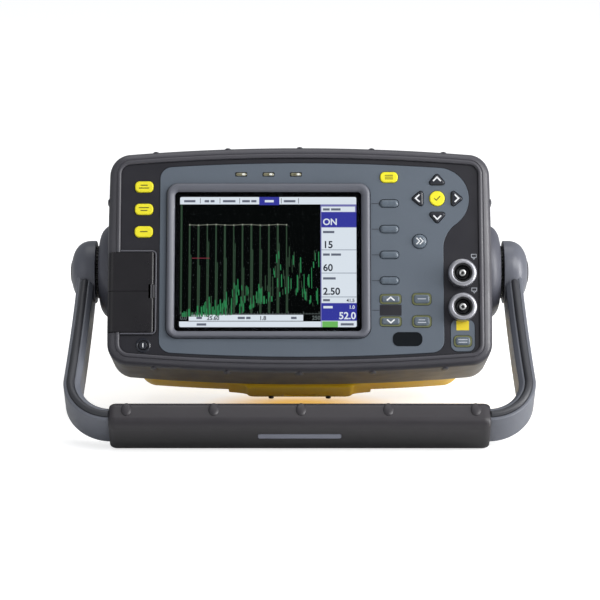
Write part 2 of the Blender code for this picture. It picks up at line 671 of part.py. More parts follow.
def make_bumper(frame):
    """The rubber ring round the case, with a rolled lip over the edge of the face."""
    profile = [(BUMPER_LIP, PLATE_FRONT - GAP), (BUMPER_LIP, LIP_FRONT + 1.0 * MM),
               (BUMPER_LIP - 0.7 * MM, LIP_FRONT + 0.2 * MM)]
    for angle in (0, 22.5, 45, 67.5, 90):
        turn = math.radians(angle)
        profile.append((BUMPER_ROUND * (1 - math.sin(turn)), LIP_FRONT + BUMPER_ROUND * (1 - math.cos(turn))))
    profile += [(0, BUMPER_BACK - 1.2 * MM), (1.0 * MM, BUMPER_BACK), (BUMPER_WALL, BUMPER_BACK),
                (BUMPER_WALL, PLATE_FRONT - GAP)]
    rings = [at_depth(BUMPER.inset(inset).points(), y) for inset, y in profile]
    bumper = solid("bumper", rings, "bumper_rubber", frame, closed=True)
    nubs = []
    for i in range(-2, 3):
        x = i * NUB_PITCH
        nubs.append(nub(f"top_nub_{i}", (x, NUB_Y, BUMPER.top_at(x)), NUB_SIZE, frame))
        nubs.append(nub(f"under_nub_{i}", (x, NUB_Y, BUMPER.bottom_at(x)), NUB_SIZE, frame))
    for side in (-1, 1):
        centre = (side * BUMPER_HALF_WIDTH, NUB_Y, SIDE_NUB_Z)
        nubs.append(nub(f"side_nub_{side}", centre, NUB_SIZE, frame, True))
    unite(bumper, merged("bumper_nubs", nubs, frame))
    boss_cuts = []
    for side in (-1, 1):
        profile = [(BOSS_BASE_RADIUS + GAP, BUMPER_HALF_WIDTH - 8 * MM),
                   (BOSS_BASE_RADIUS + GAP, BUMPER_HALF_WIDTH + 8 * MM)]
        boss_cuts.append(turned(f"boss_cut_{side}", profile, "steel", frame, "X", closed=False, side=side,
                                steps=LARGE_ROUND_STEPS))
    low = (DOOR_LEFT - 5 * MM, DOOR_FRONT - 5 * MM, RECESS_BOTTOM)
    high = (RECESS_RIGHT, DOOR_FLANGE_BACK + GAP, RECESS_TOP)
    cut(bumper, merged("boss_cuts", boss_cuts, frame), box("door_cut", low, high, "steel", frame))


def make_front_housing(keys, frame):
    """A shell with a flat face plate, an inturned rear flange and a spigot into the rear casing."""
    outer = HOUSING_OUTER
    inner = HOUSING_OUTER + HOUSING_WALL
    # The spigot follows the rear casing's outline, which has its own proportions.
    spigot = CASING.inset(CASING_WALL + GAP)
    spigot_inner = CASING.inset(CASING_WALL + GAP + CASING_WALL)
    flange_front = BUMPER_BACK - HOUSING_FLANGE
    spigot_back = BUMPER_BACK + SPIGOT_LENGTH
    rings = [
        at_depth(BUMPER.inset(outer + 1.5 * MM).points(), PLATE_FRONT),
        at_depth(BUMPER.inset(outer).points(), PLATE_FRONT + 1.5 * MM),
        at_depth(BUMPER.inset(outer).points(), BUMPER_BACK),
        at_depth(spigot.points(), BUMPER_BACK),
        at_depth(spigot.points(), spigot_back),
        at_depth(spigot_inner.points(), spigot_back),
        at_depth(spigot_inner.points(), flange_front),
        at_depth(BUMPER.inset(inner).points(), flange_front),
        at_depth(BUMPER.inset(inner).points(), PLATE_BACK),
    ]
    housing = solid("front_housing", rings, "dark_housing", frame)

    # Connector recess behind the doors: a rim in front, a box behind the plate
    rim_low = (-BUMPER_HALF_WIDTH + BUMPER_LIP + GAP, LIP_FRONT, RECESS_BOTTOM - RECESS_RIM)
    rim_high = (RECESS_RIGHT + RECESS_RIM, PLATE_BACK, RECESS_TOP + RECESS_RIM)
    rim = box("recess_rim_block", rim_low, rim_high, "dark_housing", frame)
    well_low = (-BUMPER_HALF_WIDTH + HOUSING_OUTER + MM, PLATE_BACK - MM, RECESS_BOTTOM - RECESS_WALL)
    well_high = (RECESS_RIGHT + RECESS_WALL, RECESS_FLOOR + RECESS_WALL, RECESS_TOP + RECESS_WALL)
    well = box("recess_well_block", well_low, well_high, "dark_housing", frame)
    posts = [prism(f"board_post_{i}", circle(centre, POST_RADIUS, 10), PLATE_BACK - MM, MAIN_BOARD_Y - GAP,
                   "dark_housing", frame)
             for i, centre in enumerate(board_posts())]
    sleeves = []
    for side in (-1, 1):
        profile = [(PIVOT_BOLT_RADIUS + 1.6 * MM, CASING_HALF_WIDTH + MM),
                   (PIVOT_BOLT_RADIUS + 1.6 * MM, BUMPER_HALF_WIDTH - HOUSING_OUTER - MM)]
        sleeves.append(turned(f"bolt_sleeve_{side}", profile, "steel", frame, "X", closed=False, side=side))
    unite(housing, rim, well, merged("board_posts", posts, frame), merged("bolt_sleeves", sleeves, frame))

    recess = box("recess_cut", (DOOR_LEFT - 5 * MM, DOOR_FRONT - 5 * MM, RECESS_BOTTOM),
                 (RECESS_RIGHT, RECESS_FLOOR, RECESS_TOP), "steel", frame)
    module_front = rounded_box((SCREEN_X, SCREEN_Z), module_front_size(), 2 * MM, 0.4 * MM)
    module_hole = prism("module_hole", module_front, PLATE_FRONT - MM, PLATE_BACK + MM, "steel", frame)
    barrel_holes = socket_holes(SOCKET_BARREL + SIDE_PLAY, "barrel_holes", frame)
    cut(housing, recess, module_hole, key_holes(keys, frame))
    cut(housing, barrel_holes, light_holes(frame), pivot_bores(frame))

    ear_centres = [(HINGE_X, HINGE_Y), (RECESS_RIGHT + 0.5 * MM - KNUCKLE_RADIUS, HINGE_Y)]
    ear_outline = round_corners(ear_centres, KNUCKLE_RADIUS, 5)
    ear_ends = (DOOR_SPLIT_Z - EAR_HALF_HEIGHT, DOOR_SPLIT_Z + EAR_HALF_HEIGHT)
    rings = [[Vector((x, y, z)) for x, y in ear_outline] for z in ear_ends]
    unite(housing, solid("hinge_ear", rings, "dark_housing", frame))
    pin_profile = [(HINGE_PIN_RADIUS + HINGE_PLAY, RECESS_TOP + RECESS_RIM - 0.4 * MM),
                   (HINGE_PIN_RADIUS + HINGE_PLAY, RECESS_BOTTOM - RECESS_RIM + 0.4 * MM)]
    cut(housing, turned("pin_bore", pin_profile, "steel", frame, "Z", (HINGE_X, HINGE_Y), 10, closed=False))


def board_posts():
    """Where the posts for the main board stand on the back of the face plate."""
    right = KEYPAD_BOARD_HALF_WIDTH + POST_RADIUS + MM
    return [(-right, FUNCTION_TOP_Z), (right, FUNCTION_TOP_Z), (-right, POWER_Z),
            (right, SOCKET_TOP_Z - SOCKET_PITCH - SOCKET_RADIUS - POST_RADIUS - MM)]


def make_rear_casing(frame):
    """A tray with rounded rear edges, round pads behind the pivots and a bay for the battery."""
    back_inner = CASING_BACK - CASING_WALL
    rings = [
        at_depth(CASING.inset(CASING_WALL + 6 * MM).points(), back_inner),
        at_depth(CASING.inset(CASING_WALL).points(), back_inner - 7 * MM),
        at_depth(CASING.inset(CASING_WALL).points(), CASING_FRONT),
        at_depth(CASING.points(), CASING_FRONT),
    ]
    for angle in (0, 30, 60, 90):
        turn = math.radians(angle)
        inset = CASING_ROUND * (1 - math.cos(turn))
        depth = CASING_BACK - CASING_ROUND * (1 - math.sin(turn))
        rings.append(at_depth(CASING.inset(inset).points(), depth))
    casing = solid("rear_casing", rings, "yellow_plastic", frame)

    pads = []
    for side in (-1, 1):
        reach = math.degrees(math.acos(CASING_FRONT / (BOSS_BASE_RADIUS - MM)))
        outline = arc((0, 0), BOSS_BASE_RADIUS - MM, -reach, reach, 10)
        inner_x = side * (CASING_HALF_WIDTH - CASING_WALL / 2)
        outer_x = side * (BUMPER_HALF_WIDTH - HOUSING_OUTER)
        rings = [[Vector((x, y, z)) for y, z in outline] for x in (inner_x, outer_x)]
        pads.append(solid(f"pivot_pad_{side}", rings, "yellow_plastic", frame))
    width, depth, height = BATTERY_SIZE
    low_z = CASING_BOTTOM + GAP
    bay_wall = BAY_WALL + 2 * GAP
    bay_low = (-width / 2 - bay_wall, BATTERY_Y - depth / 2 - bay_wall, low_z + 0.7 * MM)
    bay_high = (width / 2 + bay_wall, BATTERY_Y + depth / 2 + bay_wall, low_z + height + bay_wall)
    bay = box("battery_bay_block", bay_low, bay_high, "yellow_plastic", frame)
    seat_half_x = DOOR_PLATE_SIZE[0] / 2 + DOOR_PLATE_FLARE
    seat_half_y = DOOR_PLATE_SIZE[1] / 2
    seat_high = (seat_half_x, BATTERY_Y + seat_half_y, CASING_BOTTOM + CASING_WALL - 0.4 * MM)
    seat_low = (-seat_half_x, BATTERY_Y - seat_half_y, DOOR_SEAT_Z)
    seat = box("door_seat", seat_low, seat_high, "yellow_plastic", frame)
    unite(casing, merged("pivot_pads", pads, frame), bay, seat)
    pocket_low = (-width / 2 - 2 * GAP, BATTERY_Y - depth / 2 - 2 * GAP, CASING_BOTTOM - 10 * MM)
    pocket_high = (width / 2 + 2 * GAP, BATTERY_Y + depth / 2 + 2 * GAP, low_z + height + GAP)
    pocket = box("battery_pocket", pocket_low, pocket_high, "steel", frame)
    well = [(SCREW_WELL_RADIUS, CASING_BACK - SCREW_WELL_DEPTH), (SCREW_WELL_RADIUS, CASING_BACK + 5 * MM)]
    head = [(SCREW_HEAD_RADIUS, CASING_BACK - SCREW_WELL_DEPTH - 0.4 * MM),
            (SCREW_HEAD_RADIUS, CASING_BACK - 0.7 * MM), (SCREW_HEAD_RADIUS - 0.6 * MM, CASING_BACK - GAP)]
    wells = []
    heads = []
    for sx in (-1, 1):
        for place, z in (("low", CASE_SCREW_LOW), ("high", CASE_SCREW_HIGH)):
            centre = (sx * CASE_SCREW_X, z)
            wells.append(turned(f"screw_well_{sx}_{place}", well, "steel", frame, "Y", centre, 12, False))
            heads.append(turned(f"screw_head_{sx}_{place}", head, "steel", frame, "Y", centre, 12, False))
    cut(casing, pocket, merged("screw_wells", wells, frame))
    unite(casing, merged("screw_heads", heads, frame))


def make_gasket(frame):
    front = BUMPER_BACK + GAP
    back = front + GASKET_THICKNESS
    outer = CASING.points()
    inner = CASING.inset(CASING_WALL).points()
    rings = [at_depth(outer, front), at_depth(outer, back), at_depth(inner, back), at_depth(inner, front)]
    solid("case_gasket", rings, "black_plastic", frame, closed=True)


def make_overlay(keys, frame):
    """The dark membrane that fills the face inside the bumper's lip."""
    edge = BUMPER.inset(BUMPER_LIP + GAP)
    overlay = prism("front_overlay", edge.points(), OVERLAY_FRONT, PLATE_FRONT - GAP, "dark_overlay", frame)
    fascia_cut = prism("fascia_cut", fascia_outline(GAP), LIP_FRONT - MM, PLATE_BACK, "steel", frame)
    cut(overlay, fascia_cut, source_fascia_cutter(frame), front_of_door_recess(GAP, frame),
        bpy.data.objects["key_holes"], bpy.data.objects["barrel_holes"])


def source_fascia_centre():
    return (SOCKET_X, SOURCE_Z - SOURCE_KEY[1] / 2 - 3 * MM + SOURCE_FASCIA_SIZE[1] / 2)


def source_fascia_cutter(frame):
    outline = rounded_box(source_fascia_centre(), SOURCE_FASCIA_SIZE, SOURCE_FASCIA_CORNER, GAP, 3)
    return prism("source_fascia_cut", outline, LIP_FRONT - MM, PLATE_BACK, "steel", frame)


def make_fascias(frame):
    """The blue-grey field with the display and most keys, and the small one at the probe sockets."""
    seat = PLATE_FRONT - GAP
    fascia = prism("control_fascia", fascia_outline(), FASCIA_FRONT, seat, "blue_grey_overlay", frame)
    bezel_cut = prism("bezel_cut", bezel_outline(GAP), LIP_FRONT - MM, PLATE_BACK, "steel", frame)
    cut(fascia, bezel_cut, bpy.data.objects["key_holes"], bpy.data.objects["light_holes"])
    outline = rounded_box(source_fascia_centre(), SOURCE_FASCIA_SIZE, SOURCE_FASCIA_CORNER, 0, 3)
    small = prism("source_fascia", outline, FASCIA_FRONT, seat, "blue_grey_overlay", frame)
    cut(small, bpy.data.objects["key_holes"], socket_holes(SOCKET_RADIUS + GAP, "flange_holes", frame))


# Display

def module_front_size():
    return tuple(side + 2 * MODULE_FRONT_BORDER for side in SCREEN_SIZE)


def make_bezel(frame):
    """A raised frame that holds the window down; its front is rounded over."""
    front = PLATE_FRONT - GAP - BEZEL_HEIGHT
    seat = PLATE_FRONT - GAP
    window_front = seat - WINDOW_THICKNESS - GAP
    profile = [
        (bezel_outline(0), seat),
        (bezel_outline(0), front + 2.2 * MM),
        (bezel_outline(-0.8 * MM), front + 0.7 * MM),
        (bezel_outline(-2.2 * MM), front),
        (bezel_outline(-4.0 * MM), front + 0.6 * MM),
        (window_outline(0), window_front - 0.4 * MM),
        (window_outline(0), window_front),
        (window_outline(WINDOW_TUCK + GAP), window_front),
        (window_outline(WINDOW_TUCK + GAP), seat),
    ]
    rings = [at_depth(outline, y) for outline, y in profile]
    solid("display_bezel", rings, "bezel_grey", frame, closed=True)


def make_display(frame):
    seat = PLATE_FRONT - GAP
    prism("display_window", window_outline(WINDOW_TUCK), seat - WINDOW_THICKNESS, seat, "clear_window", frame)
    body_front = PLATE_BACK + GAP
    body_size = tuple(side + 2 * MODULE_BODY_BORDER for side in SCREEN_SIZE)
    body = rounded_box((SCREEN_X, SCREEN_Z), body_size, 2 * MM)
    face = rounded_box((SCREEN_X, SCREEN_Z), module_front_size(), 2 * MM)
    rings = [at_depth(face, PLATE_FRONT + GAP), at_depth(face, body_front), at_depth(body, body_front),
             at_depth(body, body_front + MODULE_DEPTH)]
    solid("display_module", rings, "display_black", frame)


def make_indicator_lights(frame):
    """A clear bar behind the plate with a stub for each light."""
    bar_front = PLATE_BACK + GAP
    bar_back = bar_front + 1.2 * MM
    half_width = LIGHT_SIZE[0] / 2
    outline = [(LIGHT_X - LIGHT_PITCH - half_width - 2 * MM, bar_back)]
    outline.append((outline[0][0], bar_front))
    for x, _ in light_centres():
        outline += [(x - half_width, bar_front), (x - half_width, FASCIA_FRONT),
                    (x + half_width, FASCIA_FRONT), (x + half_width, bar_front)]
    end = LIGHT_X + LIGHT_PITCH + half_width + 2 * MM
    outline += [(end, bar_front), (end, bar_back)]
    half_height = LIGHT_SIZE[1] / 2
    rings = [[Vector((x, y, LIGHT_Z + side * half_height)) for x, y in outline] for side in (-1, 1)]
    solid("indicator_light_guide", rings, "clear_window", frame)


# Probe sockets

def make_probe_sockets(frame):
    seat = OVERLAY_FRONT - GAP
    front = seat - SOCKET_RISE
    for place, centre in socket_centres():
        shell = [
            (SOCKET_BARREL, SOCKET_BACK),
            (SOCKET_BARREL, seat),
            (SOCKET_RADIUS, seat),
            (SOCKET_RADIUS, front + 1.4 * MM),
            (SOCKET_RADIUS - 1.2 * MM, front),
            (SOCKET_MOUTH + 0.9 * MM, front),
            (SOCKET_MOUTH, front + 1.2 * MM),
            (SOCKET_MOUTH, SOCKET_BACK),
        ]
        turned(f"probe_socket_{place}", shell, "socket_metal", frame, "Y", centre)
        core_front = front + INSULATOR_DEPTH
        core_back = SOCKET_BACK - MM
        core = [(SOCKET_MOUTH - GAP, core_back), (SOCKET_MOUTH - GAP, core_front),
                (CONTACT_RADIUS + GAP, core_front), (CONTACT_RADIUS + GAP, core_back)]
        turned(f"socket_insulator_{place}", core, "black_plastic", frame, "Y", centre, 16)
        tip = front + CONTACT_DEPTH
        hole = CONTACT_RADIUS - 1.1 * MM
        contact = [(CONTACT_RADIUS, SOCKET_BACK), (CONTACT_RADIUS, tip + 0.3 * MM),
                   (CONTACT_RADIUS - 0.3 * MM, tip), (hole, tip), (hole, tip + 5 * MM)]
        turned(f"socket_contact_{place}", contact, "brass", frame, "Y", centre, 12, closed=False)


# Doors over the connectors

def make_door(name, bottom, top, knuckle_bottom, knuckle_top, frame):
    """An L-shaped cover that wraps the case's left edge, with its knuckle at the right."""
    inner_x = DOOR_LEFT + DOOR_THICKNESS
    inner_y = DOOR_FRONT + DOOR_THICKNESS
    bend = [(DOOR_LEFT + DOOR_ROUND - DOOR_ROUND * math.cos(math.radians(a)),
             DOOR_FRONT + DOOR_ROUND - DOOR_ROUND * math.sin(math.radians(a))) for a in (0, 30, 60, 90)]
    section = bend + [(DOOR_RIGHT, DOOR_FRONT), (DOOR_RIGHT, inner_y), (inner_x + MM, inner_y),
                      (inner_x, inner_y + MM), (inner_x, DOOR_FLANGE_BACK), (DOOR_LEFT, DOOR_FLANGE_BACK)]
    rings = [[Vector((x, y, z)) for x, y in section] for z in (bottom, top)]
    door = solid(name, rings, "door_rubber", frame)
    soften(door, 0.7 * MM)
    web = [(HINGE_X, HINGE_Y), (DOOR_RIGHT - MM, HINGE_Y)]
    outline = round_corners(web, KNUCKLE_RADIUS, 5)
    rings = [[Vector((x, y, z)) for x, y in outline] for z in (knuckle_bottom, knuckle_top)]
    unite(door, solid(f"{name}_knuckle", rings, "door_rubber", frame))
    radius = HINGE_PIN_RADIUS + HINGE_PLAY
    bore = [(radius, knuckle_bottom - MM), (radius, knuckle_top + MM)]
    cut(door, turned(f"{name}_bore", bore, "steel", frame, "Z", (HINGE_X, HINGE_Y), 10, closed=False))
    return door


def make_doors(frame):
    upper_top = RECESS_TOP - GAP
    lower_bottom = RECESS_BOTTOM + GAP
    ear_top = DOOR_SPLIT_Z + EAR_HALF_HEIGHT + GAP
    ear_bottom = DOOR_SPLIT_Z - EAR_HALF_HEIGHT - GAP
    upper = make_door("io_door_upper", DOOR_SPLIT_Z + GAP / 2, upper_top, ear_top, upper_top, frame)
    lower = make_door("io_door_lower", lower_bottom, DOOR_SPLIT_Z - GAP / 2, lower_bottom, ear_bottom, frame)
    for door in (upper, lower):
        hinge = Vector((HINGE_X, HINGE_Y, 0))
        for tool in [door] + [modifier.object for modifier in door.modifiers if modifier.type == "BOOLEAN"]:
            place_origin(tool, hinge)
    pin = [(HINGE_PIN_RADIUS, RECESS_BOTTOM - RECESS_RIM + 0.7 * MM),
           (HINGE_PIN_RADIUS, RECESS_TOP + RECESS_RIM - 0.7 * MM)]
    turned("io_hinge_pin", pin, "steel", frame, "Z", (HINGE_X, HINGE_Y), 8, closed=False)


def make_connectors(frame):
    """A flat data port and a round power inlet on the floor of the recess."""
    back = RECESS_FLOOR - GAP
    front = back - 6 * MM
    upper_z = (RECESS_TOP + DOOR_SPLIT_Z) / 2
    lower_z = (RECESS_BOTTOM + DOOR_SPLIT_Z) / 2
    port = (CONNECTOR_X, upper_z)
    outer = rounded_box(port, (15 * MM, 8 * MM), 1.5 * MM)
    inner = rounded_box(port, (12.6 * MM, 5.6 * MM), 1.0 * MM)
    floor = back - 1.2 * MM
    rings = [at_depth(outer, back), at_depth(outer, front), at_depth(inner, front), at_depth(inner, floor)]
    solid("data_port", rings, "steel", frame)
    inlet = (CONNECTOR_X, lower_z)
    profile = [(5.2 * MM, back), (5.2 * MM, front), (3.6 * MM, front), (3.6 * MM, floor)]
    turned("power_inlet", profile, "black_plastic", frame, "Y", inlet, 16, closed=False)


# Inside

def make_boards(frame):
    """The keypad board lies round the display and the recess; the main board is behind it."""
    half = KEYPAD_BOARD_HALF_WIDTH
    edge = BUMPER.inset(HOUSING_OUTER + HOUSING_WALL + 2.2 * MM)
    bottom = edge.bottom_at(half)
    top = edge.top_at(half)
    well_right = RECESS_RIGHT + RECESS_WALL + GAP
    well_top = RECESS_TOP + RECESS_WALL + GAP
    well_bottom = RECESS_BOTTOM - RECESS_WALL - GAP
    outline = [(-half, bottom), (half, bottom), (half, top), (-half, top), (-half, well_top),
               (well_right, well_top), (well_right, well_bottom), (-half, well_bottom)]
    back = KEYPAD_BOARD_Y + BOARD_THICKNESS
    keypad = prism("keypad_board", outline, KEYPAD_BOARD_Y, back, "board_green", frame)
    body_size = tuple(side + 2 * MODULE_BODY_BORDER for side in SCREEN_SIZE)
    display = rounded_box((SCREEN_X, SCREEN_Z), body_size, 2 * MM, GAP)
    display_cut = prism("display_cut", display, KEYPAD_BOARD_Y - MM, back + MM, "steel", frame)
    cut(keypad, display_cut, bpy.data.objects["barrel_holes"])

    outline = BUMPER.inset(MAIN_BOARD_INSET).points()
    main = prism("main_board", outline, MAIN_BOARD_Y, MAIN_BOARD_Y + BOARD_THICKNESS, "board_green", frame)
    inside = MAIN_BOARD_Y + BOARD_THICKNESS / 2
    width, depth, height = SHIELD_SIZE
    shield_right = BUMPER_HALF_WIDTH - MAIN_BOARD_INSET - 11 * MM
    shield_top = SOCKET_TOP_Z + SOCKET_RADIUS + 9.15 * MM
    shield_low = (shield_right - width, inside, shield_top - height)
    shield = box("pulser_shield", shield_low, (shield_right, inside + depth, shield_top), "steel", frame)
    width, depth, height = PROCESSOR_SIZE
    processor_low = (PROCESSOR_X - width / 2, inside, -height / 2)
    processor_high = (PROCESSOR_X + width / 2, inside + depth, height / 2)
    unite(main, shield, box("processor", processor_low, processor_high, "black_plastic", frame))
    front = MAIN_BOARD_Y + BOARD_THICKNESS + GAP
    centre = (RECESS_RIGHT + 24 * MM, BUMPER_TOP - 43.5 * MM)
    sounder = [(SOUNDER_RADIUS, front), (SOUNDER_RADIUS, front + SOUNDER_DEPTH)]
    turned("sounder", sounder, "black_plastic", frame, "Y", centre, 14, closed=False)


def make_battery(frame):
    width, depth, height = BATTERY_SIZE
    low = CASING_BOTTOM + GAP
    high = (width / 2, BATTERY_Y + depth / 2, low + height)
    box("battery_pack", (-width / 2, BATTERY_Y - depth / 2, low), high, "battery_grey", frame)
    plate_width, plate_depth, plate_height = DOOR_PLATE_SIZE
    top = DOOR_SEAT_Z - GAP
    bottom = top - plate_height
    rings = []
    for flare, z in ((DOOR_PLATE_FLARE, top), (1.2 * MM, bottom + 0.6 * MM), (-1.2 * MM, bottom)):
        size = (plate_width + 2 * flare, plate_depth + min(flare, 0) * 2)
        outline = rounded_box((0, BATTERY_Y), size, 4 * MM)
        rings.append([Vector((x, y, z)) for x, y in outline])
    solid("battery_door", rings, "yellow_plastic", frame)
    for side, name in ((-1, "left"), (1, "right")):
        profile = [(FOOT_RADIUS, bottom - GAP), (FOOT_RADIUS, bottom - FOOT_HEIGHT + 0.5 * MM),
                   (FOOT_RADIUS - 0.7 * MM, bottom - FOOT_HEIGHT)]
        centre = (side * FOOT_X, FOOT_Y)
        turned(f"rear_foot_{name}", profile, "grip_rubber", frame, "Z", centre, 16, closed=False)


# Pivots

def make_pivots(frame):
    bore = PIVOT_BOLT_RADIUS + PIVOT_PLAY
    base_x = BUMPER_HALF_WIDTH - HOUSING_OUTER + GAP
    for side, name in ((-1, "left"), (1, "right")):
        boss = [
            (bore, base_x),
            (BOSS_BASE_RADIUS, base_x),
            (BOSS_BASE_RADIUS, BUMPER_HALF_WIDTH + 0.5 * MM),
            (BOSS_BASE_RADIUS - 1.6 * MM, BUMPER_HALF_WIDTH + 3.4 * MM),
            (BOSS_TOP_RADIUS + 3.2 * MM, BOSS_TOP_X - 2.4 * MM),
            (BOSS_TOP_RADIUS, BOSS_TOP_X),
            (bore, BOSS_TOP_X),
        ]
        turned(f"pivot_boss_{name}", boss, "bezel_grey", frame, "X", side=side, steps=LARGE_ROUND_STEPS)
        washer = [(bore, WASHER_X), (WASHER_RADIUS, WASHER_X), (WASHER_RADIUS, WASHER_X + WASHER_THICKNESS),
                  (bore, WASHER_X + WASHER_THICKNESS)]
        turned(f"friction_washer_{name}", washer, "black_plastic", frame, "X", side=side)
        head_back = HUB_OUTER_X - BOLT_HEAD_SINK + GAP
        head_front = head_back + BOLT_HEAD_THICKNESS - GAP
        bolt = [
            (PIVOT_BOLT_RADIUS, CASING_HALF_WIDTH),
            (PIVOT_BOLT_RADIUS, head_back),
            (BOLT_HEAD_RADIUS, head_back),
            (BOLT_HEAD_RADIUS, head_front - MM),
            (BOLT_HEAD_RADIUS - 1.2 * MM, head_front),
        ]
        turned(f"pivot_bolt_{name}", bolt, "black_plastic", frame, "X", side=side, closed=False)


# Handle: X across, Z up from the grip towards the pivots, Y through its width, front at -Y

def handle_path(start, end=90):
    """Stations down the strap's outer face and round its corner: (x, z, outward direction)."""
    corner = STRAP_CORNER
    corner_x = ARM_FOOT_HALF_SPAN - corner
    corner_z = -(GRIP_OUTER - corner)
    stations = [(ARM_TOP_HALF_SPAN - (ARM_FOOT_HALF_SPAN - ARM_TOP_HALF_SPAN) * start / corner_z, -start, 0)]
    steps = 9
    for i in range(steps + 1):
        angle = end * i / steps
        turn = math.radians(angle)
        stations.append((corner_x + corner * math.cos(turn), corner_z - corner * math.sin(turn), angle))
    return stations


def sweep(stations, section, mirrored=False):
    """Rings of a section of (inwards from the outer face, through the width) pairs."""
    rings = []
    for x, z, angle in stations:
        turn = math.radians(angle)
        ring = []
        for inwards, depth in section:
            px = x - inwards * math.cos(turn)
            pz = z + inwards * math.sin(turn)
            ring.append(Vector((-px if mirrored else px, depth, pz)))
        rings.append(ring)
    return rings


def make_handle_frame(handle):
    """The U-shaped strap, one piece with the two hubs, with a seat for the bead on its front edge."""
    half = STRAP_HALF_WIDTH
    thick = STRAP_THICKNESS
    bead_end = 1.2 * MM + BEAD_WIDTH
    seat = -half + 1.5 * MM
    section = [
        (0, seat + 1.0 * MM), (1.0 * MM, seat), (bead_end, seat), (thick, seat + (thick - bead_end)),
        (thick, half - MM), (thick - MM, half), (MM, half), (0, half - MM),
    ]
    right = sweep(handle_path(5 * MM), section)
    left = sweep(handle_path(5 * MM), section, mirrored=True)
    strap = solid("handle_frame", right + left[::-1], "handle_grey", handle)
    hubs = []
    for side in (-1, 1):
        outer = HUB_OUTER_X
        profile = [(HUB_RADIUS - 0.8 * MM, HUB_INNER_X), (HUB_RADIUS, HUB_INNER_X + 0.8 * MM)]
        for angle in (0, 30, 60, 90):
            turn = math.radians(angle)
            rounding = HUB_ROUND * (1 - math.cos(turn))
            profile.append((HUB_RADIUS - rounding, outer - HUB_ROUND * (1 - math.sin(turn))))
        hubs.append(turned(f"hub_{side}", profile, "handle_grey", handle, "X", side=side, closed=False,
                           steps=LARGE_ROUND_STEPS))
    unite(strap, merged("hubs", hubs, handle))
    bores = []
    for side in (-1, 1):
        bore = PIVOT_BOLT_RADIUS + PIVOT_PLAY
        sink = HUB_OUTER_X - BOLT_HEAD_SINK
        profile = [(bore, HUB_INNER_X - 5 * MM), (bore, sink), (BOLT_HEAD_RADIUS + GAP, sink),
                   (BOLT_HEAD_RADIUS + GAP, HUB_OUTER_X + 5 * MM)]
        bores.append(turned(f"hub_bore_{side}", profile, "steel", handle, "X", side=side, closed=False))
    cut(strap, merged("hub_bores", bores, handle))


def make_beads(handle):
    """Rubber beads along the front edge of each arm, from the hub round the corner to the grip."""
    half = BEAD_WIDTH / 2
    back = -STRAP_HALF_WIDTH + 1.5 * MM - GAP
    front = back - BEAD_RISE
    middle = 1.2 * MM + half
    shoulder = back - BEAD_RISE * 0.55
    section = [(middle - half, back), (middle - half, shoulder), (middle - half * 0.6, front + 0.2 * MM),
               (middle, front), (middle + half * 0.6, front + 0.2 * MM), (middle + half, shoulder),
               (middle + half, back)]
    start = math.sqrt(HUB_RADIUS ** 2 - back ** 2) + 2 * GAP
    inner_corner = STRAP_CORNER - middle - half
    corner_x = ARM_FOOT_HALF_SPAN - STRAP_CORNER
    end = math.degrees(math.acos((GRIP_HALF_LENGTH + GAP - corner_x) / inner_corner))
    for name, mirrored in (("right", False), ("left", True)):
        rings = sweep(handle_path(start, end), section, mirrored)
        solid(f"edge_bead_{name}", rings, "grip_rubber", handle)


def make_grip(handle):
    """The rubber sleeve on the crossbar, with nubs on its front and a light strip let into it."""
    middle_z = -HANDLE_REACH
    size = (2 * GRIP_HALF_WIDTH, 2 * GRIP_HALF_THICKNESS)
    hole = (2 * (STRAP_HALF_WIDTH + GAP), STRAP_THICKNESS + 2 * (GAP + 0.9 * MM))

    def ring(x, outline):
        return [Vector((x, y, z)) for y, z in outline]

    def outer(inset):
        return rounded_box((0, middle_z), size, GRIP_CORNER, -inset, 3)

    inner = rounded_box((0, middle_z), hole, 1.2 * MM, 0, 3)
    end = GRIP_HALF_LENGTH
    rounding = ((1.6 * MM, 0), (0.6 * MM, 0.6 * MM), (0, 2 * MM))  # inset and distance from the end
    rings = [ring(-end, inner)]
    rings += [ring(-end + distance, outer(inset)) for inset, distance in rounding]
    rings += [ring(end - distance, outer(inset)) for inset, distance in rounding[::-1]]
    rings.append(ring(end, inner))
    grip = solid("grip", rings, "grip_rubber", handle, closed=True)
    nubs = [nub(f"grip_nub_{i}", (i * GRIP_NUB_PITCH, -GRIP_HALF_WIDTH, middle_z + 2 * MM),
                (2.8 * MM, 1.3 * MM, 5 * MM), handle) for i in range(-2, 3)]
    unite(grip, merged("grip_nubs", nubs, handle))

    length, width, depth = INLAY_SIZE
    face = middle_z - GRIP_HALF_THICKNESS
    inlay_y = -2 * MM

    def plate(name, grow, low, high, look):
        outline = rounded_box((0, inlay_y), (length, width), 1 * MM, grow, 1)
        rings = [[Vector((x, y, z)) for x, y in outline] for z in (low, high)]
        return solid(name, rings, look, handle)

    cut(grip, plate("inlay_cut", GAP, face - MM, face + depth + GAP, "steel"))
    plate("grip_inlay", 0, face - 0.1 * MM, face + depth, "inlay_grey")


# Stance

def handle_angle():
    """The handle's turn from hanging straight down the case, at which grip and feet share the table."""
    foot_z = DOOR_SEAT_Z - GAP - DOOR_PLATE_SIZE[2] - FOOT_HEIGHT
    foot_y = FOOT_Y + FOOT_RADIUS - 0.7 * MM
    pivot_height = foot_y * math.sin(CASE_TILT) - foot_z * math.cos(CASE_TILT)
    corner_reach = HANDLE_REACH + GRIP_HALF_THICKNESS - GRIP_CORNER
    corner_depth = GRIP_HALF_WIDTH - GRIP_CORNER
    below = math.asin((pivot_height - GRIP_CORNER) / math.hypot(corner_reach, corner_depth))
    below -= math.atan2(corner_depth, corner_reach)
    return CASE_TILT - (math.pi / 2 - below)


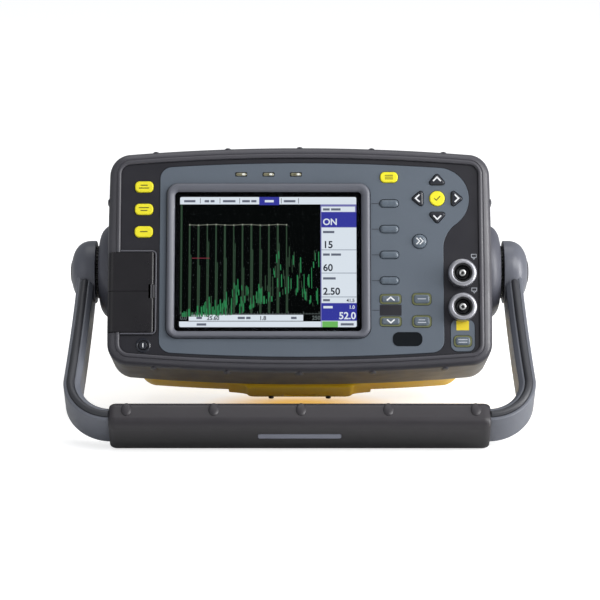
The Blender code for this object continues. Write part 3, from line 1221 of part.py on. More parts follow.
def set_on_table(frame):
    """Moves the instrument so that the middle of its footprint is the origin."""
    bpy.context.view_layer.update()
    graph = bpy.context.evaluated_depsgraph_get()
    points = []
    for obj in bpy.context.scene.objects:
        if obj.type == "MESH" and not obj.hide_render:
            shape = obj.evaluated_get(graph)
            points += [shape.matrix_world @ vertex.co for vertex in shape.data.vertices]
    low = Vector(min(p[i] for p in points) for i in range(3))
    high = Vector(max(p[i] for p in points) for i in range(3))
    frame.location = (-(low.x + high.x) / 2, -(low.y + high.y) / 2, -low.z)
    bpy.context.view_layer.update()


def main():
    clear_scene()
    frame = empty("case_frame")
    frame.rotation_euler.x = -CASE_TILT
    keys = key_table()
    make_bumper(frame)
    make_front_housing(keys, frame)
    make_rear_casing(frame)
    make_gasket(frame)
    make_overlay(keys, frame)
    make_fascias(frame)
    make_bezel(frame)
    make_display(frame)
    make_indicator_lights(frame)
    make_keys(keys, frame)
    make_probe_sockets(frame)
    make_doors(frame)
    make_connectors(frame)
    make_boards(frame)
    make_battery(frame)
    make_pivots(frame)
    handle = empty("handle_pivot", frame)
    handle.rotation_euler.x = handle_angle()
    make_handle_frame(handle)
    make_beads(handle)
    make_grip(handle)
    set_on_table(frame)


main()
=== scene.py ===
import json
import math
import random

import bmesh
import bpy
from mathutils import Matrix, Vector


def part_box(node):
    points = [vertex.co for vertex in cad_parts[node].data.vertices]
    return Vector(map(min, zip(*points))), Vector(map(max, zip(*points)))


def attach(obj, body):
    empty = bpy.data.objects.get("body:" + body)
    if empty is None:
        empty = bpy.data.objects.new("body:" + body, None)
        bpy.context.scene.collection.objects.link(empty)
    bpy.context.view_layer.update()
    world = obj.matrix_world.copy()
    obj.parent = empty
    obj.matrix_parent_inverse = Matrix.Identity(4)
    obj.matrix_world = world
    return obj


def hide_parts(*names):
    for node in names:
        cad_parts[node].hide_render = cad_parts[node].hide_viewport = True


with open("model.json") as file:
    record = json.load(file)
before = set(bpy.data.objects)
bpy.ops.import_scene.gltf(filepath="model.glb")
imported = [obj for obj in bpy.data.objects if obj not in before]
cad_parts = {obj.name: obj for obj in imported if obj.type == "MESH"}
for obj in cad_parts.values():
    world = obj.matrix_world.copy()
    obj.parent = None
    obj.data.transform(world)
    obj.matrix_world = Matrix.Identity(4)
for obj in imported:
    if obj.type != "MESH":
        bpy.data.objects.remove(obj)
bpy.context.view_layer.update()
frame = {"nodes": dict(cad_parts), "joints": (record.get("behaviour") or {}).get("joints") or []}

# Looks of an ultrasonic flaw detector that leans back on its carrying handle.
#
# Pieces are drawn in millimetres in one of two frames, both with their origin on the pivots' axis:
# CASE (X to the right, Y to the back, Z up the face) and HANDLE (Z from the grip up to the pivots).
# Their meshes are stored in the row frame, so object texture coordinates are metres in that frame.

MM = Matrix.Scale(0.001, 4)


def middle(node):
    low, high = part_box(node)
    return (low + high) / 2


JOINTS = {joint["name"]: joint for joint in frame["joints"]}
UP_FACE = Vector(JOINTS["io_door_upper_hinge"]["axis"])
TILT = math.atan2(UP_FACE.y, UP_FACE.z)
PIVOT = (middle("pivot_bolt_left") + middle("pivot_bolt_right")) / 2
INLAY = middle("grip_inlay") - PIVOT
INLAY_PLACE = (-2.0, -137.1)  # Y and Z of the inlay strip in the handle's frame
SWING = math.atan2(INLAY.z, INLAY.y) - math.atan2(INLAY_PLACE[1], INLAY_PLACE[0])
CASE = Matrix.Translation(PIVOT) @ Matrix.Rotation(-TILT, 4, "X") @ MM
HANDLE = Matrix.Translation(PIVOT) @ Matrix.Rotation(SWING, 4, "X") @ MM

# Depths, front is towards -Y
PLATE = -52.0
SEAT = -52.3
OVERLAY_FRONT = -52.9
FASCIA_FRONT = -53.1
INK = 0.03  # height of print and thin labels
KEY_FRONT = -54.0
KEY_BACK = -47.7
GAP = 0.3
THROUGH = (-60, -45)  # front and back of the tools that cut the face


# Colours and materials

def linear(colour):
    """Scene colour from 0 to 255 display values."""
    values = []
    for value in colour:
        part = value / 255
        values.append(part / 12.92 if part <= 0.04045 else ((part + 0.055) / 1.055) ** 2.4)
    return (*values, 1)


def scaled(colour, factor):
    return (*(min(1, part * factor) for part in colour[:3]), 1)


def new_material(name):
    """A material with its node tree, its shader and the object coordinates."""
    made = bpy.data.materials.new(name)
    made.use_nodes = True
    tree = made.node_tree
    place = tree.nodes.new("ShaderNodeTexCoord").outputs["Object"]
    return made, tree, tree.nodes["Principled BSDF"], place


def noise(tree, place, scale, detail=3.0):
    node = tree.nodes.new("ShaderNodeTexNoise")
    node.inputs["Scale"].default_value = scale
    node.inputs["Detail"].default_value = detail
    tree.links.new(place, node.inputs["Vector"])
    return node.outputs["Fac"]


def remap(tree, value, low, high, start=0.3, end=0.7):
    node = tree.nodes.new("ShaderNodeMapRange")
    node.inputs["From Min"].default_value = start
    node.inputs["From Max"].default_value = end
    node.inputs["To Min"].default_value = low
    node.inputs["To Max"].default_value = high
    tree.links.new(value, node.inputs["Value"])
    return node.outputs["Result"]


def mixed(tree, factor, first, second):
    node = tree.nodes.new("ShaderNodeMix")
    node.data_type = "RGBA"
    for socket, value in ((node.inputs[6], first), (node.inputs[7], second)):
        if isinstance(value, bpy.types.NodeSocket):
            tree.links.new(value, socket)
        else:
            socket.default_value = value
    tree.links.new(factor, node.inputs[0])
    return node.outputs[2]


def bump(tree, height, strength, distance, normal=None):
    node = tree.nodes.new("ShaderNodeBump")
    node.inputs["Strength"].default_value = strength
    node.inputs["Distance"].default_value = distance
    tree.links.new(height, node.inputs["Height"])
    if normal:
        tree.links.new(normal, node.inputs["Normal"])
    return node.outputs["Normal"]


def surface(name, colour, roughness=0.5, metallic=0.0, grain=1800, relief=0.00003, mottle=0.07,
            specular=0.5, floor_shade=0.0):
    """A moulded or coated surface: fine grain, cloudy colour, uneven gloss; painted shade darkens what lies
    low, near the floor.
    """
    made, tree, shader, place = new_material(name)
    base = linear(colour)
    cloud = noise(tree, place, 26, 4)
    speckle = noise(tree, place, grain * 0.6, 2)
    tone = mixed(tree, remap(tree, cloud, 0, 1), scaled(base, 1 - mottle), scaled(base, 1 + mottle))
    dust_and_shade = mixed(tree, remap(tree, speckle, 0, 0.35, 0.55, 0.8), tone, scaled(base, 1.25))
    # Painted shade: darker towards the floor, from 24 mm up down to 4 mm, where the shadow under the part
    # falls; the light speckle above is dust.
    if floor_shade:
        split = tree.nodes.new("ShaderNodeSeparateXYZ")
        tree.links.new(place, split.inputs[0])
        low = remap(tree, split.outputs["Z"], floor_shade, 0, 0.004, 0.024)
        dust_and_shade = mixed(tree, low, dust_and_shade, scaled(base, 0.1))
    tree.links.new(dust_and_shade, shader.inputs["Base Color"])
    gloss = remap(tree, noise(tree, place, 60, 3), roughness - 0.05, roughness + 0.06)
    tree.links.new(gloss, shader.inputs["Roughness"])
    fine = bump(tree, noise(tree, place, grain, 3), 0.5, relief)
    wavy = bump(tree, cloud, 0.15, 0.0002, fine)
    tree.links.new(wavy, shader.inputs["Normal"])
    shader.inputs["Metallic"].default_value = metallic
    shader.inputs["Specular IOR Level"].default_value = specular
    return made


def lit(name, colour):
    """A part of the display's picture, with its rows and columns of pixels."""
    made, tree, shader, place = new_material(name)
    base = linear(colour)
    wave = tree.nodes.new("ShaderNodeTexWave")
    wave.inputs["Scale"].default_value = 440
    wave.inputs["Distortion"].default_value = 0.0
    tree.links.new(place, wave.inputs["Vector"])
    glow = noise(tree, place, 14, 2)
    grid = mixed(tree, wave.outputs["Fac"], scaled(base, 0.93), base)
    shown = mixed(tree, remap(tree, glow, 0, 1), scaled(base, 0.96), grid)
    tree.links.new(shown, shader.inputs["Emission Color"])
    shader.inputs["Emission Strength"].default_value = 1.0
    shader.inputs["Base Color"].default_value = (0, 0, 0, 1)
    shader.inputs["Specular IOR Level"].default_value = 0.0
    return made


def glass(name):
    """The clear window: faint smears change its gloss."""
    made, tree, shader, place = new_material(name)
    shader.inputs["Base Color"].default_value = (0.96, 0.98, 0.98, 1)
    shader.inputs["Transmission Weight"].default_value = 1.0
    shader.inputs["IOR"].default_value = 1.06
    tree.links.new(remap(tree, noise(tree, place, 30, 3), 0.0, 0.06), shader.inputs["Roughness"])
    return made


def lens(name):
    """Indicator lens: clear plastic; the white spot in it is a painted highlight."""
    made, tree, shader, place = new_material(name)
    spread = remap(tree, noise(tree, place, 420, 2), 0, 1)
    tone = mixed(tree, spread, linear((96, 92, 66)), linear((138, 134, 108)))
    tree.links.new(tone, shader.inputs["Base Color"])
    tree.links.new(bump(tree, noise(tree, place, 500, 2), 0.3, 0.0002), shader.inputs["Normal"])
    shader.inputs["Roughness"].default_value = 0.12
    shader.inputs["Coat Weight"].default_value = 1.0
    return made


def turned_metal(name, colour, roughness):
    """Plated metal with fine marks from turning and handling."""
    return surface(name, colour, roughness, 1.0, 2600, 0.00002, 0.1)


LOOKS = {
    "dark_housing": surface("dark_housing_look", (38, 37, 42), 0.48),
    "bumper_rubber": surface("bumper_rubber_look", (72, 71, 77), 0.38, grain=1500, relief=0.00004),
    "dark_overlay": surface("dark_overlay_look", (33, 32, 39), 0.4, grain=2600, relief=0.00001),
    "blue_grey_overlay": surface("blue_grey_overlay_look", (92, 101, 112), 0.46, grain=2600, relief=0.00001,
                                 mottle=0.03),
    "bezel_grey": surface("bezel_grey_look", (100, 102, 111), 0.4, mottle=0.04),
    "door_rubber": surface("door_rubber_look", (28, 26, 30), 0.3, grain=1300, relief=0.00004),
    "yellow_plastic": surface("yellow_plastic_look", (250, 204, 36), 0.4, mottle=0.05),
    "yellow_key": surface("yellow_key_look", (244, 232, 38), 0.5, mottle=0.04),
    "dark_key": surface("dark_key_look", (38, 40, 48), 0.28, mottle=0.06),
    "grey_key": surface("grey_key_look", (96, 106, 117), 0.26, mottle=0.05),
    "olive_rim": surface("olive_rim_look", (104, 108, 70), 0.5, mottle=0.06),
    "mark_white": surface("mark_white_look", (232, 234, 236), 0.5, mottle=0.04),
    "mark_dark": surface("mark_dark_look", (74, 70, 22), 0.6, mottle=0.08),
    "print_dark": surface("print_dark_look", (40, 40, 48), 0.5, mottle=0.08),
    "print_light": surface("print_light_look", (186, 190, 198), 0.5, mottle=0.06),
    "badge_dark": surface("badge_dark_look", (6, 12, 18), 0.3, mottle=0.1, specular=0.3),
    "label_yellow": surface("label_yellow_look", (232, 206, 44), 0.35, mottle=0.04),
    "handle_grey": surface("handle_grey_look", (104, 107, 116), 0.38, mottle=0.04),
    "hub_grey": surface("hub_grey_look", (98, 100, 109), 0.36, mottle=0.05),
    "bead_rubber": surface("bead_rubber_look", (58, 59, 64), 0.45, grain=1400, relief=0.00003),
    # This rubber carries painted shade, darker towards the floor (grip and feet).
    "grip_rubber": surface("grip_rubber_look", (52, 49, 53), 0.42, grain=1300, relief=0.00005, floor_shade=0.9),
    "inlay_grey": surface("inlay_grey_look", (126, 129, 142), 0.4, mottle=0.05),
    "boss_grey": surface("boss_grey_look", (84, 85, 94), 0.42, mottle=0.05),
    "socket_metal": turned_metal("socket_metal_look", (178, 178, 184), 0.42),
    "socket_dark": surface("socket_dark_look", (36, 36, 38), 0.3, 0.6),
    "contact_metal": turned_metal("contact_metal_look", (226, 226, 224), 0.3),
    "steel": turned_metal("steel_look", (150, 150, 154), 0.35),
    "black_plastic": surface("black_plastic_look", (20, 20, 22), 0.4),
    # The recess rim's grey is lighter than the housing: partly a painted highlight.
    "rim_highlight_grey": surface("rim_highlight_grey_look", (92, 92, 100), 0.35, mottle=0.05),
    # White for the spot in each indicator lens: a painted highlight.
    "painted_glint": surface("painted_glint_look", (240, 240, 232), 0.3, mottle=0.02),
    "black_border": surface("black_border_look", (8, 9, 12), 0.3, mottle=0.2, specular=0.06),
    "gasket_rubber": surface("gasket_rubber_look", (30, 30, 31), 0.6),
    "board_green": surface("board_green_look", (24, 92, 58), 0.45, mottle=0.12),
    "battery_grey": surface("battery_grey_look", (78, 80, 84), 0.5),
    "window": glass("window_look"),
    "lens": lens("lens_look"),
}

SCREEN_COLOURS = {
    "black": (6, 8, 8), "white": (224, 231, 240), "grey": (150, 158, 172), "blue": (57, 60, 158),
    "violet": (118, 116, 176), "lime": (112, 184, 96), "ink": (44, 48, 60), "words": (104, 109, 124),
    "trace": (48, 68, 52), "echo": (46, 128, 78), "curve": (150, 153, 140), "gate": (136, 52, 66),
    "dots": (96, 104, 104),
}
for shade, colour in SCREEN_COLOURS.items():
    LOOKS[f"screen_{shade}"] = lit(f"screen_{shade}_look", colour)


# Outlines: lists of (x, z)

def sine(degrees):
    return math.sin(math.radians(degrees))


def cosine(degrees):
    return math.cos(math.radians(degrees))


def arc(centre, radius, start, end, steps):
    angles = [start + (end - start) * i / steps for i in range(steps + 1)]
    return [(centre[0] + radius * cosine(angle), centre[1] + radius * sine(angle)) for angle in angles]


def circle(centre, radius, steps=48):
    return arc(centre, radius, 0, 360 - 360 / steps, steps - 1)


def round_corners(centres, radius, steps):
    """The convex outline at a distance from the polygon through the corner centres."""
    points = []
    count = len(centres)
    for i, centre in enumerate(centres):
        before = Vector(centre) - Vector(centres[i - 1])
        after = Vector(centres[(i + 1) % count]) - Vector(centre)
        start = math.degrees(math.atan2(before.y, before.x)) - 90
        turn = math.degrees(math.atan2(before.cross(after), before.dot(after)))
        points += arc(centre, radius, start, start + turn, steps)
    return points


def rounded_box(centre, size, radius, grow=0.0, steps=8):
    half_x = size[0] / 2 - radius
    half_z = size[1] / 2 - radius
    corners = [(centre[0] + sx * half_x, centre[1] + sz * half_z)
               for sx, sz in ((-1, -1), (1, -1), (1, 1), (-1, 1))]
    return round_corners(corners, radius + grow, steps)


def rectangle(x0, z0, x1, z1):
    return [(x0, z0), (x1, z0), (x1, z1), (x0, z1)]


def centred(x, z, width, height):
    """A rectangle round its centre."""
    return rectangle(x - width / 2, z - height / 2, x + width / 2, z + height / 2)


class Crowned:
    """A rounded box whose top and bottom edges are slightly arched."""

    CROWN = 1350

    def __init__(self, half_width, top, bottom, corner):
        self.half_width = half_width
        self.top = top
        self.bottom = bottom
        self.corner = corner

    def inset(self, by):
        return Crowned(self.half_width - by, self.top - by, self.bottom + by, max(self.corner - by, 0.8))

    def top_at(self, x):
        return self.top - x * x / (2 * self.CROWN)

    def bottom_at(self, x):
        return self.bottom + x * x / (2 * self.CROWN)

    def points(self, corner_steps=10, crown_steps=24, side_steps=1):
        turn_x = self.half_width - self.corner
        low = self.bottom_at(turn_x) + self.corner
        high = self.top_at(turn_x) - self.corner
        span = [turn_x * (2 * i / crown_steps - 1) for i in range(1, crown_steps)]
        rise = [low + (high - low) * i / side_steps for i in range(1, side_steps)]
        return (
            arc((turn_x, high), self.corner, 0, 90, corner_steps)
            + [(-x, self.top_at(x)) for x in span]
            + arc((-turn_x, high), self.corner, 90, 180, corner_steps)
            + [(-self.half_width, z) for z in rise[::-1]]
            + arc((-turn_x, low), self.corner, 180, 270, corner_steps)
            + [(x, self.bottom_at(x)) for x in span]
            + arc((turn_x, low), self.corner, 270, 360, corner_steps)
            + [(self.half_width, z) for z in rise]
        )


BUMPER = Crowned(124.3, 73.5, -75.7, 14)
CASING = Crowned(110, 70.5, -73, 13)
FASCIA = Crowned(93.6, 62.5, -66, 8)
CROSS = (89.8, 38.7)
SCREEN = (-20.6, -3.2)
LIT = (115.2, 86.4)
WINDOW = (121.2, 91.8)
BEZEL = (132.5, 102.3)
BEZEL_PLACE = (SCREEN[0] + 0.25, SCREEN[1] + 0.65)
PIN = CASE.inverted() @ middle("io_hinge_pin")
HINGE = (PIN.x, PIN.y)
DOOR_RIGHT = HINGE[0] - 2
RECESS_RIGHT = HINGE[0] + 2
RECESS_BOTTOM = -50.2
RECESS_TOP = 2.8
RECESS_RIM = 1.3
DOOR_SPLIT = (RECESS_BOTTOM + RECESS_TOP) / 2 + 0.6
EAR = 4.3  # half the height of the fixed knuckle between the doors
BOSS_RADIUS = 31.5
SIDES = ((-1, "left"), (1, "right"))
SOCKETS = {"upper": (105.6, -11.5), "lower": (105.6, -33.8)}

# Centres of the keys and lights on the face
FUNCTION_KEYS = {place: (-101.7, 46.5 - 15 * i) for i, place in enumerate(("top", "middle", "bottom"))}
SOFT_KEYS = [(58.4, 35.4 - 17.1 * i) for i in range(4)]
MENU = (58.4, 52.9)
NEXT = (78.1, 10.1)
GAIN_UP = (59.0, -28.1)
GAIN_DOWN = (59.0, -42.8)
STEP = (79.2, -28.1)
REFERENCE = (79.2, -42.8)
SOURCE = (105.6, -55.8)
POWER = (-101.4, -58.5)
POWER_RADIUS = 2.7
ARROWS = {"up": (0, 1), "right": (1, 0), "down": (0, -1), "left": (-1, 0)}
ARROW_REACH = 12.7  # from the centre of the arrow cross
LAMPS = [(-20.4 + 17.9 * i, 54.9) for i in (-1, 0, 1)]
LAMP_SIZE = (7.2, 2.3)


def fascia_outline(grow=0.0):
    """The blue-grey field: straight at the left, bulging round the arrow keys at the right."""
    edges = FASCIA.inset(-grow)
    corner = 8 + grow
    left = -91.3 - grow
    right = 93.6 + grow
    bulge = edges.top_at(CROSS[0]) - CROSS[1]
    neck = 20 - grow
    neck_x = right + neck
    neck_z = CROSS[1] - math.sqrt((bulge + neck) ** 2 - (neck_x - CROSS[0]) ** 2)
    neck_turn = math.degrees(math.atan2(CROSS[1] - neck_z, CROSS[0] - neck_x))
    low_left = (left + corner, edges.bottom_at(left + corner) + corner)
    low_right = (right - corner, edges.bottom_at(right - corner) + corner)
    high_left = (left + corner, edges.top_at(left + corner) - corner)
    steps = 20
    span = [left + corner + (right - left - 2 * corner) * i / steps for i in range(1, steps)]
    back = [CROSS[0] + (left + corner - CROSS[0]) * i / steps for i in range(1, steps)]
    return (
        arc(low_left, corner, 180, 270, 8)
        + [(x, edges.bottom_at(x)) for x in span]
        + arc(low_right, corner, 270, 360, 8)
        + arc((neck_x, neck_z), neck, 180, neck_turn, 16)
        + arc(CROSS, bulge, neck_turn - 180, 90, 32)[1:]
        + [(x, edges.top_at(x)) for x in back]
        + arc(high_left, corner, 90, 180, 8)
    )


def recess_outline(grow=0.0):
    """The doors' recess; its left end is open to the case's side."""
    left = -130
    centre = ((left + RECESS_RIGHT) / 2, (RECESS_BOTTOM + RECESS_TOP) / 2)
    return rounded_box(centre, (RECESS_RIGHT - left, RECESS_TOP - RECESS_BOTTOM), 2.0, grow)


def source_outline(grow=0.0):
    """The small blue-grey field under the probe sockets."""
    return rounded_box((105.6, -52.0), (15.6, 21), 4.5, grow)


# Meshes

def at_depth(outline, y):
    return [(x, y, z) for x, z in outline]


def add_rings(work, rings, place, closed=False, caps=True):
    rows = [[work.verts.new(place @ Vector(point)) for point in ring] for ring in rings]
    count = len(rows[0])
    pairs = list(zip(rows, rows[1:]))
    if closed:
        pairs.append((rows[-1], rows[0]))
    for first, second in pairs:
        for i in range(count):
            j = (i + 1) % count
            work.faces.new((first[i], first[j], second[j], second[i]))
    if caps and not closed:
        work.faces.new(rows[0])
        work.faces.new(rows[-1])


def placed(name, data):
    """A new object in the scene."""
    obj = bpy.data.objects.new(name, data)
    bpy.context.scene.collection.objects.link(obj)
    return obj


def object_from(name, work):
    mesh = bpy.data.meshes.new(name)
    work.to_mesh(mesh)
    work.free()
    return placed(name, mesh)


def draft(name, ring_sets, place, closed=False, caps=True):
    """An object through one or more sets of rings of equally many points."""
    work = bmesh.new()
    for rings in ring_sets:
        add_rings(work, rings, place, closed, caps)
    bmesh.ops.recalc_face_normals(work, faces=work.faces)
    return object_from(name, work)


def turned_rings(profile, axis="Y", centre=(0, 0), steps=48, side=1):
    """Rings of a turned solid from (radius, place along the axis) pairs."""
    rings = []
    for radius, at in profile:
        ring = circle(centre, radius, steps)
        if axis == "Y":
            rings.append([(a, side * at, b) for a, b in ring])
        elif axis == "X":
            rings.append([(side * at, a, b) for a, b in ring])
        else:
            rings.append([(a, b, side * at) for a, b in ring])
    return rings


def evaluated(obj):
    """Applies an object's modifiers."""
    graph = bpy.context.evaluated_depsgraph_get()
    mesh = bpy.data.meshes.new_from_object(obj.evaluated_get(graph))
    old = obj.data
    obj.modifiers.clear()
    obj.data = mesh
    bpy.data.meshes.remove(old)
    return obj


def carve(obj, operation, *tools):
    """Cuts the tools from the object or joins them to it; the tools go."""
    for tool in tools:
        modifier = obj.modifiers.new(tool.name, "BOOLEAN")
        modifier.operation = operation
        modifier.solver = "EXACT"
        modifier.object = tool
    bpy.context.view_layer.update()
    evaluated(obj)
    for tool in tools:
        bpy.data.objects.remove(tool)
    return obj


def soften(obj, width, segments=3, angle=40):
    """Rounds the sharp edges; width in millimetres."""
    modifier = obj.modifiers.new("rounded_edges", "BEVEL")
    modifier.width = width * 0.001
    modifier.segments = segments
    modifier.limit_method = "ANGLE"
    modifier.angle_limit = math.radians(angle)
    modifier.harden_normals = False
    bpy.context.view_layer.update()
    return evaluated(obj)


def dress(mesh, look, angle):
    """Gives a mesh its material and smooth shading up to an angle."""
    mesh.materials.clear()
    mesh.materials.append(LOOKS[look])
    mesh.shade_smooth()
    mesh.set_sharp_from_angle(angle=math.radians(angle))


def finish(obj, look, body="case", replaces=(), slot=None, angle=32):
    """Shades the piece, gives it its material and lets it ride its body."""
    dress(obj.data, look, angle)
    even = obj.modifiers.new("even_faces", "WEIGHTED_NORMAL")
    even.keep_sharp = True
    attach(obj, body)
    if replaces:
        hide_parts(*replaces)
    return obj


def prism(name, outline, front, back, place=CASE):
    return draft(name, [[at_depth(outline, front), at_depth(outline, back)]], place)


def plates(name, outlines, front, back, place=CASE):
    """Several flat plates as one object; the outlines may have different numbers of points."""
    sets = [[at_depth(outline, front), at_depth(outline, back)] for outline in outlines]
    return draft(name, sets, place)


def block(name, low, high, place=CASE):
    return prism(name, rectangle(low[0], low[2], high[0], high[2]), low[1], high[1], place)


def turned(name, profile, axis="Y", centre=(0, 0), steps=48, side=1, place=CASE, closed=True):
    return draft(name, [turned_rings(profile, axis, centre, steps, side)], place, closed)


def stroke(points, width):
    """A bent line of even width, as one outline."""
    path = [Vector(point) for point in points]
    legs = [(end - start).normalized() for start, end in zip(path, path[1:])]
    left = []
    right = []
    for point, back, ahead in zip(path, legs[:1] + legs, legs + legs[-1:]):
        normal_a = Vector((-back.y, back.x))
        normal_b = Vector((-ahead.y, ahead.x))
        normal = (normal_a + normal_b).normalized()
        reach = width / 2 / max(0.3, normal.dot(normal_a))
        left.append(tuple(point + normal * reach))
        right.append(tuple(point - normal * reach))
    return left + right[::-1]


# Keys: outline as a function of growth, centre, look, body

def box_key(centre, size):
    return lambda grow: rounded_box(centre, size[:2], size[2], grow)


def round_key(centre, radius):
    return lambda grow: circle(centre, radius + grow, 40)


def arrow_key(centre, direction, size=(10, 7.3), radius=1.6):
    def outline(grow):
        along = Vector(direction)
        across = Vector((-along.y, along.x))
        tip = Vector(centre) + along * (size[1] / 2 - radius)
        base = Vector(centre) - along * (size[1] / 2 - radius)
        half = size[0] / 2 - radius
        return round_corners([tuple(tip), tuple(base + across * half), tuple(base - across * half)],
                             radius + grow, 8)
    return outline


def from_cross(direction, reach):
    return CROSS[0] + reach * direction[0], CROSS[1] + reach * direction[1]


def plain_keys():
    keys = [(f"function_key_{place}", box_key(centre, (12, 7.4, 3.0)), "yellow_key")
            for place, centre in FUNCTION_KEYS.items()]
    keys += [(f"soft_key_{i + 1}", box_key(centre, (12.4, 5.1, 2.4)), "grey_key")
             for i, centre in enumerate(SOFT_KEYS)]
    keys.append(("menu_key", box_key(MENU, (11.6, 7.1, 3.0)), "yellow_key"))
    keys.append(("ok_key", round_key(CROSS, 5), "yellow_key"))
    keys.append(("next_key", round_key(NEXT, 4.8), "grey_key"))
    for name, direction in ARROWS.items():
        outline = arrow_key(from_cross(direction, ARROW_REACH), direction)
        keys.append((f"arrow_{name}_key", outline, "dark_key"))
    return keys


def rimmed_keys():
    """Keys with an olive rim round a smaller cap: name, centre, size with corner radius."""
    return [
        ("gain_up_key", GAIN_UP, (13.8, 6.4, 1.8)),
        ("gain_down_key", GAIN_DOWN, (13.8, 6.4, 1.8)),
        ("step_key", STEP, (12.4, 7.8, 2.4)),
        ("reference_key", REFERENCE, (12.4, 7.8, 2.4)),
        ("source_key", SOURCE, (11.7, 7.4, 2.4)),
    ]


def key_rings(outline, front, rounding, steps=5):
    """A cap with a rounded edge, down to the back of the key."""
    rings = []
    for i in range(steps + 1):
        turn = 90 * i / steps
        inset = rounding * (1 - sine(turn))
        rings.append(at_depth(outline(-inset), front + rounding * (1 - cosine(turn))))
    rings.append(at_depth(outline(0), KEY_BACK))
    return rings


CAP_ROUNDING = {"yellow_key": 0.8, "grey_key": 2.1, "dark_key": 1.4}
CAP_RISE = {"yellow_key": 0, "grey_key": 0.5, "dark_key": 0.3}  # above the plain cap's front


def make_keys():
    for name, outline, look in plain_keys():
        key = draft(name + "_cap", [key_rings(outline, KEY_FRONT - CAP_RISE[look], CAP_ROUNDING[look])], CASE)
        finish(key, look, name + "_body", [name], look)
    for name, centre, size in rimmed_keys():
        outer = box_key(centre, size)
        rim = draft(name + "_rim", [key_rings(outer, FASCIA_FRONT - 0.35, 0.2, 2)], CASE)
        finish(rim, "olive_rim", name + "_body", [name], "grey_key")
        inner = box_key(centre, (size[0] - 2.0, size[1] - 1.8, size[2] - 0.4))
        cap = draft(name + "_cap", [key_rings(inner, KEY_FRONT - 0.3, 1.3)], CASE)
        finish(cap, "grey_key", name + "_body")
    outline = round_key(POWER, POWER_RADIUS)
    power = draft("power_key_cap", [key_rings(outline, KEY_FRONT + 0.5, 0.5)], CASE)
    finish(power, "dark_key", "power_key_body", ["power_key"], "dark_key")


def make_key_holes():
    """One tool with every key's hole."""
    outlines = [outline(GAP) for name, outline, look in plain_keys()]
    outlines += [box_key(centre, size)(GAP) for name, centre, size in rimmed_keys()]
    outlines.append(round_key(POWER, POWER_RADIUS)(GAP))
    return plates("key_holes", outlines, *THROUGH)


def mark(name, strokes, body, look="mark_white", front=KEY_FRONT):
    """Raised strokes on a key."""
    marks = plates(name, strokes, front - 0.06, front + 0.3)
    finish(marks, look, body)


def chevron(centre, direction, half, depth, width):
    """A V that points along the direction."""
    along = Vector(direction)
    across = Vector((-along.y, along.x))
    middle_point = Vector(centre)
    tip = middle_point + along * depth / 2
    ends = [middle_point - along * depth / 2 + across * half * side for side in (-1, 1)]
    return stroke([tuple(ends[0]), tuple(tip), tuple(ends[1])], width)


def word_bars(centre, widths, apart, thickness):
    """One or two bars that stand for the words on a key."""
    rows = (apart / 2, -apart / 2) if len(widths) == 2 else (0,)
    return [centred(centre[0], centre[1] + row, width, thickness) for width, row in zip(widths, rows)]


def make_key_marks():
    for name, direction in ARROWS.items():
        tip = chevron(from_cross(direction, ARROW_REACH + 0.1), direction, 2.5, 2.6, 0.95)
        mark(f"arrow_{name}_mark", [tip], f"arrow_{name}_key_body", front=KEY_FRONT - 0.3)
    for name, centre in (("up", GAIN_UP), ("down", GAIN_DOWN)):
        tip = chevron(centre, ARROWS[name], 2.5, 2.2, 0.9)
        mark(f"gain_{name}_mark", [tip], f"gain_{name}_key_body", front=KEY_FRONT - 0.3)
    following = [chevron((NEXT[0] + offset, NEXT[1]), (1, 0), 2.1, 2.1, 0.7) for offset in (-1.0, 1.2)]
    mark("next_mark", following, "next_key_body", front=KEY_FRONT - 0.5)
    mark("power_mark", [centred(*POWER, 0.7, 2.8)], "power_key_body", front=KEY_FRONT + 0.5)
    for place, widths in (("top", (4.6, 6.8)), ("middle", (6.4, 4.4)), ("bottom", (4.8,))):
        bars = word_bars(FUNCTION_KEYS[place], widths, 1.9, 0.6)
        mark(f"function_{place}_mark", bars, f"function_key_{place}_body", "mark_dark")
    lines = [centred(MENU[0], MENU[1] + row, 5.2, 0.5) for row in (-1.2, 0, 1.2)]
    mark("menu_mark", lines, "menu_key_body", "mark_dark")
    tick = stroke([(CROSS[0] + x, CROSS[1] + z) for x, z in ((-1.9, 0.1), (-0.5, -1.3), (2.0, 1.5))], 0.6)
    mark("ok_mark", [tick], "ok_key_body", "mark_dark")
    for name, centre, widths in (("step", STEP, (5.4,)), ("reference", REFERENCE, (4.2, 5.4)),
                                 ("source", SOURCE, (6.0, 5.6))):
        bars = word_bars(centre, widths, 1.7, 0.56)
        mark(f"{name}_mark", bars, f"{name}_key_body", "print_light", KEY_FRONT - 0.3)


# Case

def bumper_profile():
    """(inset, y) pairs round the section: the outer rounding, a shallow valley and the rolled lip."""
    profile = [(7.6, SEAT), (7.6, -53.7)]
    profile += [(6.25 - 1.35 * cosine(a), -53.65 - 1.15 * sine(a))
                for a in range(180, -1, -20)][1:-1]
    profile += [(4.75, -53.75), (4.45, -53.8)]
    profile += [(5.4 * (1 - sine(a)), -48.7 - 5.4 * cosine(a))
                for a in range(12, 91, 6)]
    profile += [(0, -40), (0, -20), (0, 3.6), (0.35, 4.6), (1.4, 5), (4, 5), (4, SEAT)]
    return profile


def ellipsoid(work, place, centre, reach, segments=20, rings=12):
    shape = place @ Matrix.Translation(centre) @ Matrix.Diagonal((*reach, 1))
    bmesh.ops.create_uvsphere(work, u_segments=segments, v_segments=rings, radius=1, matrix=shape)


def add_ellipsoids(obj, place, spots):
    work = bmesh.new()
    work.from_mesh(obj.data)
    for centre, reach in spots:
        ellipsoid(work, place, centre, reach)
    work.to_mesh(obj.data)
    work.free()


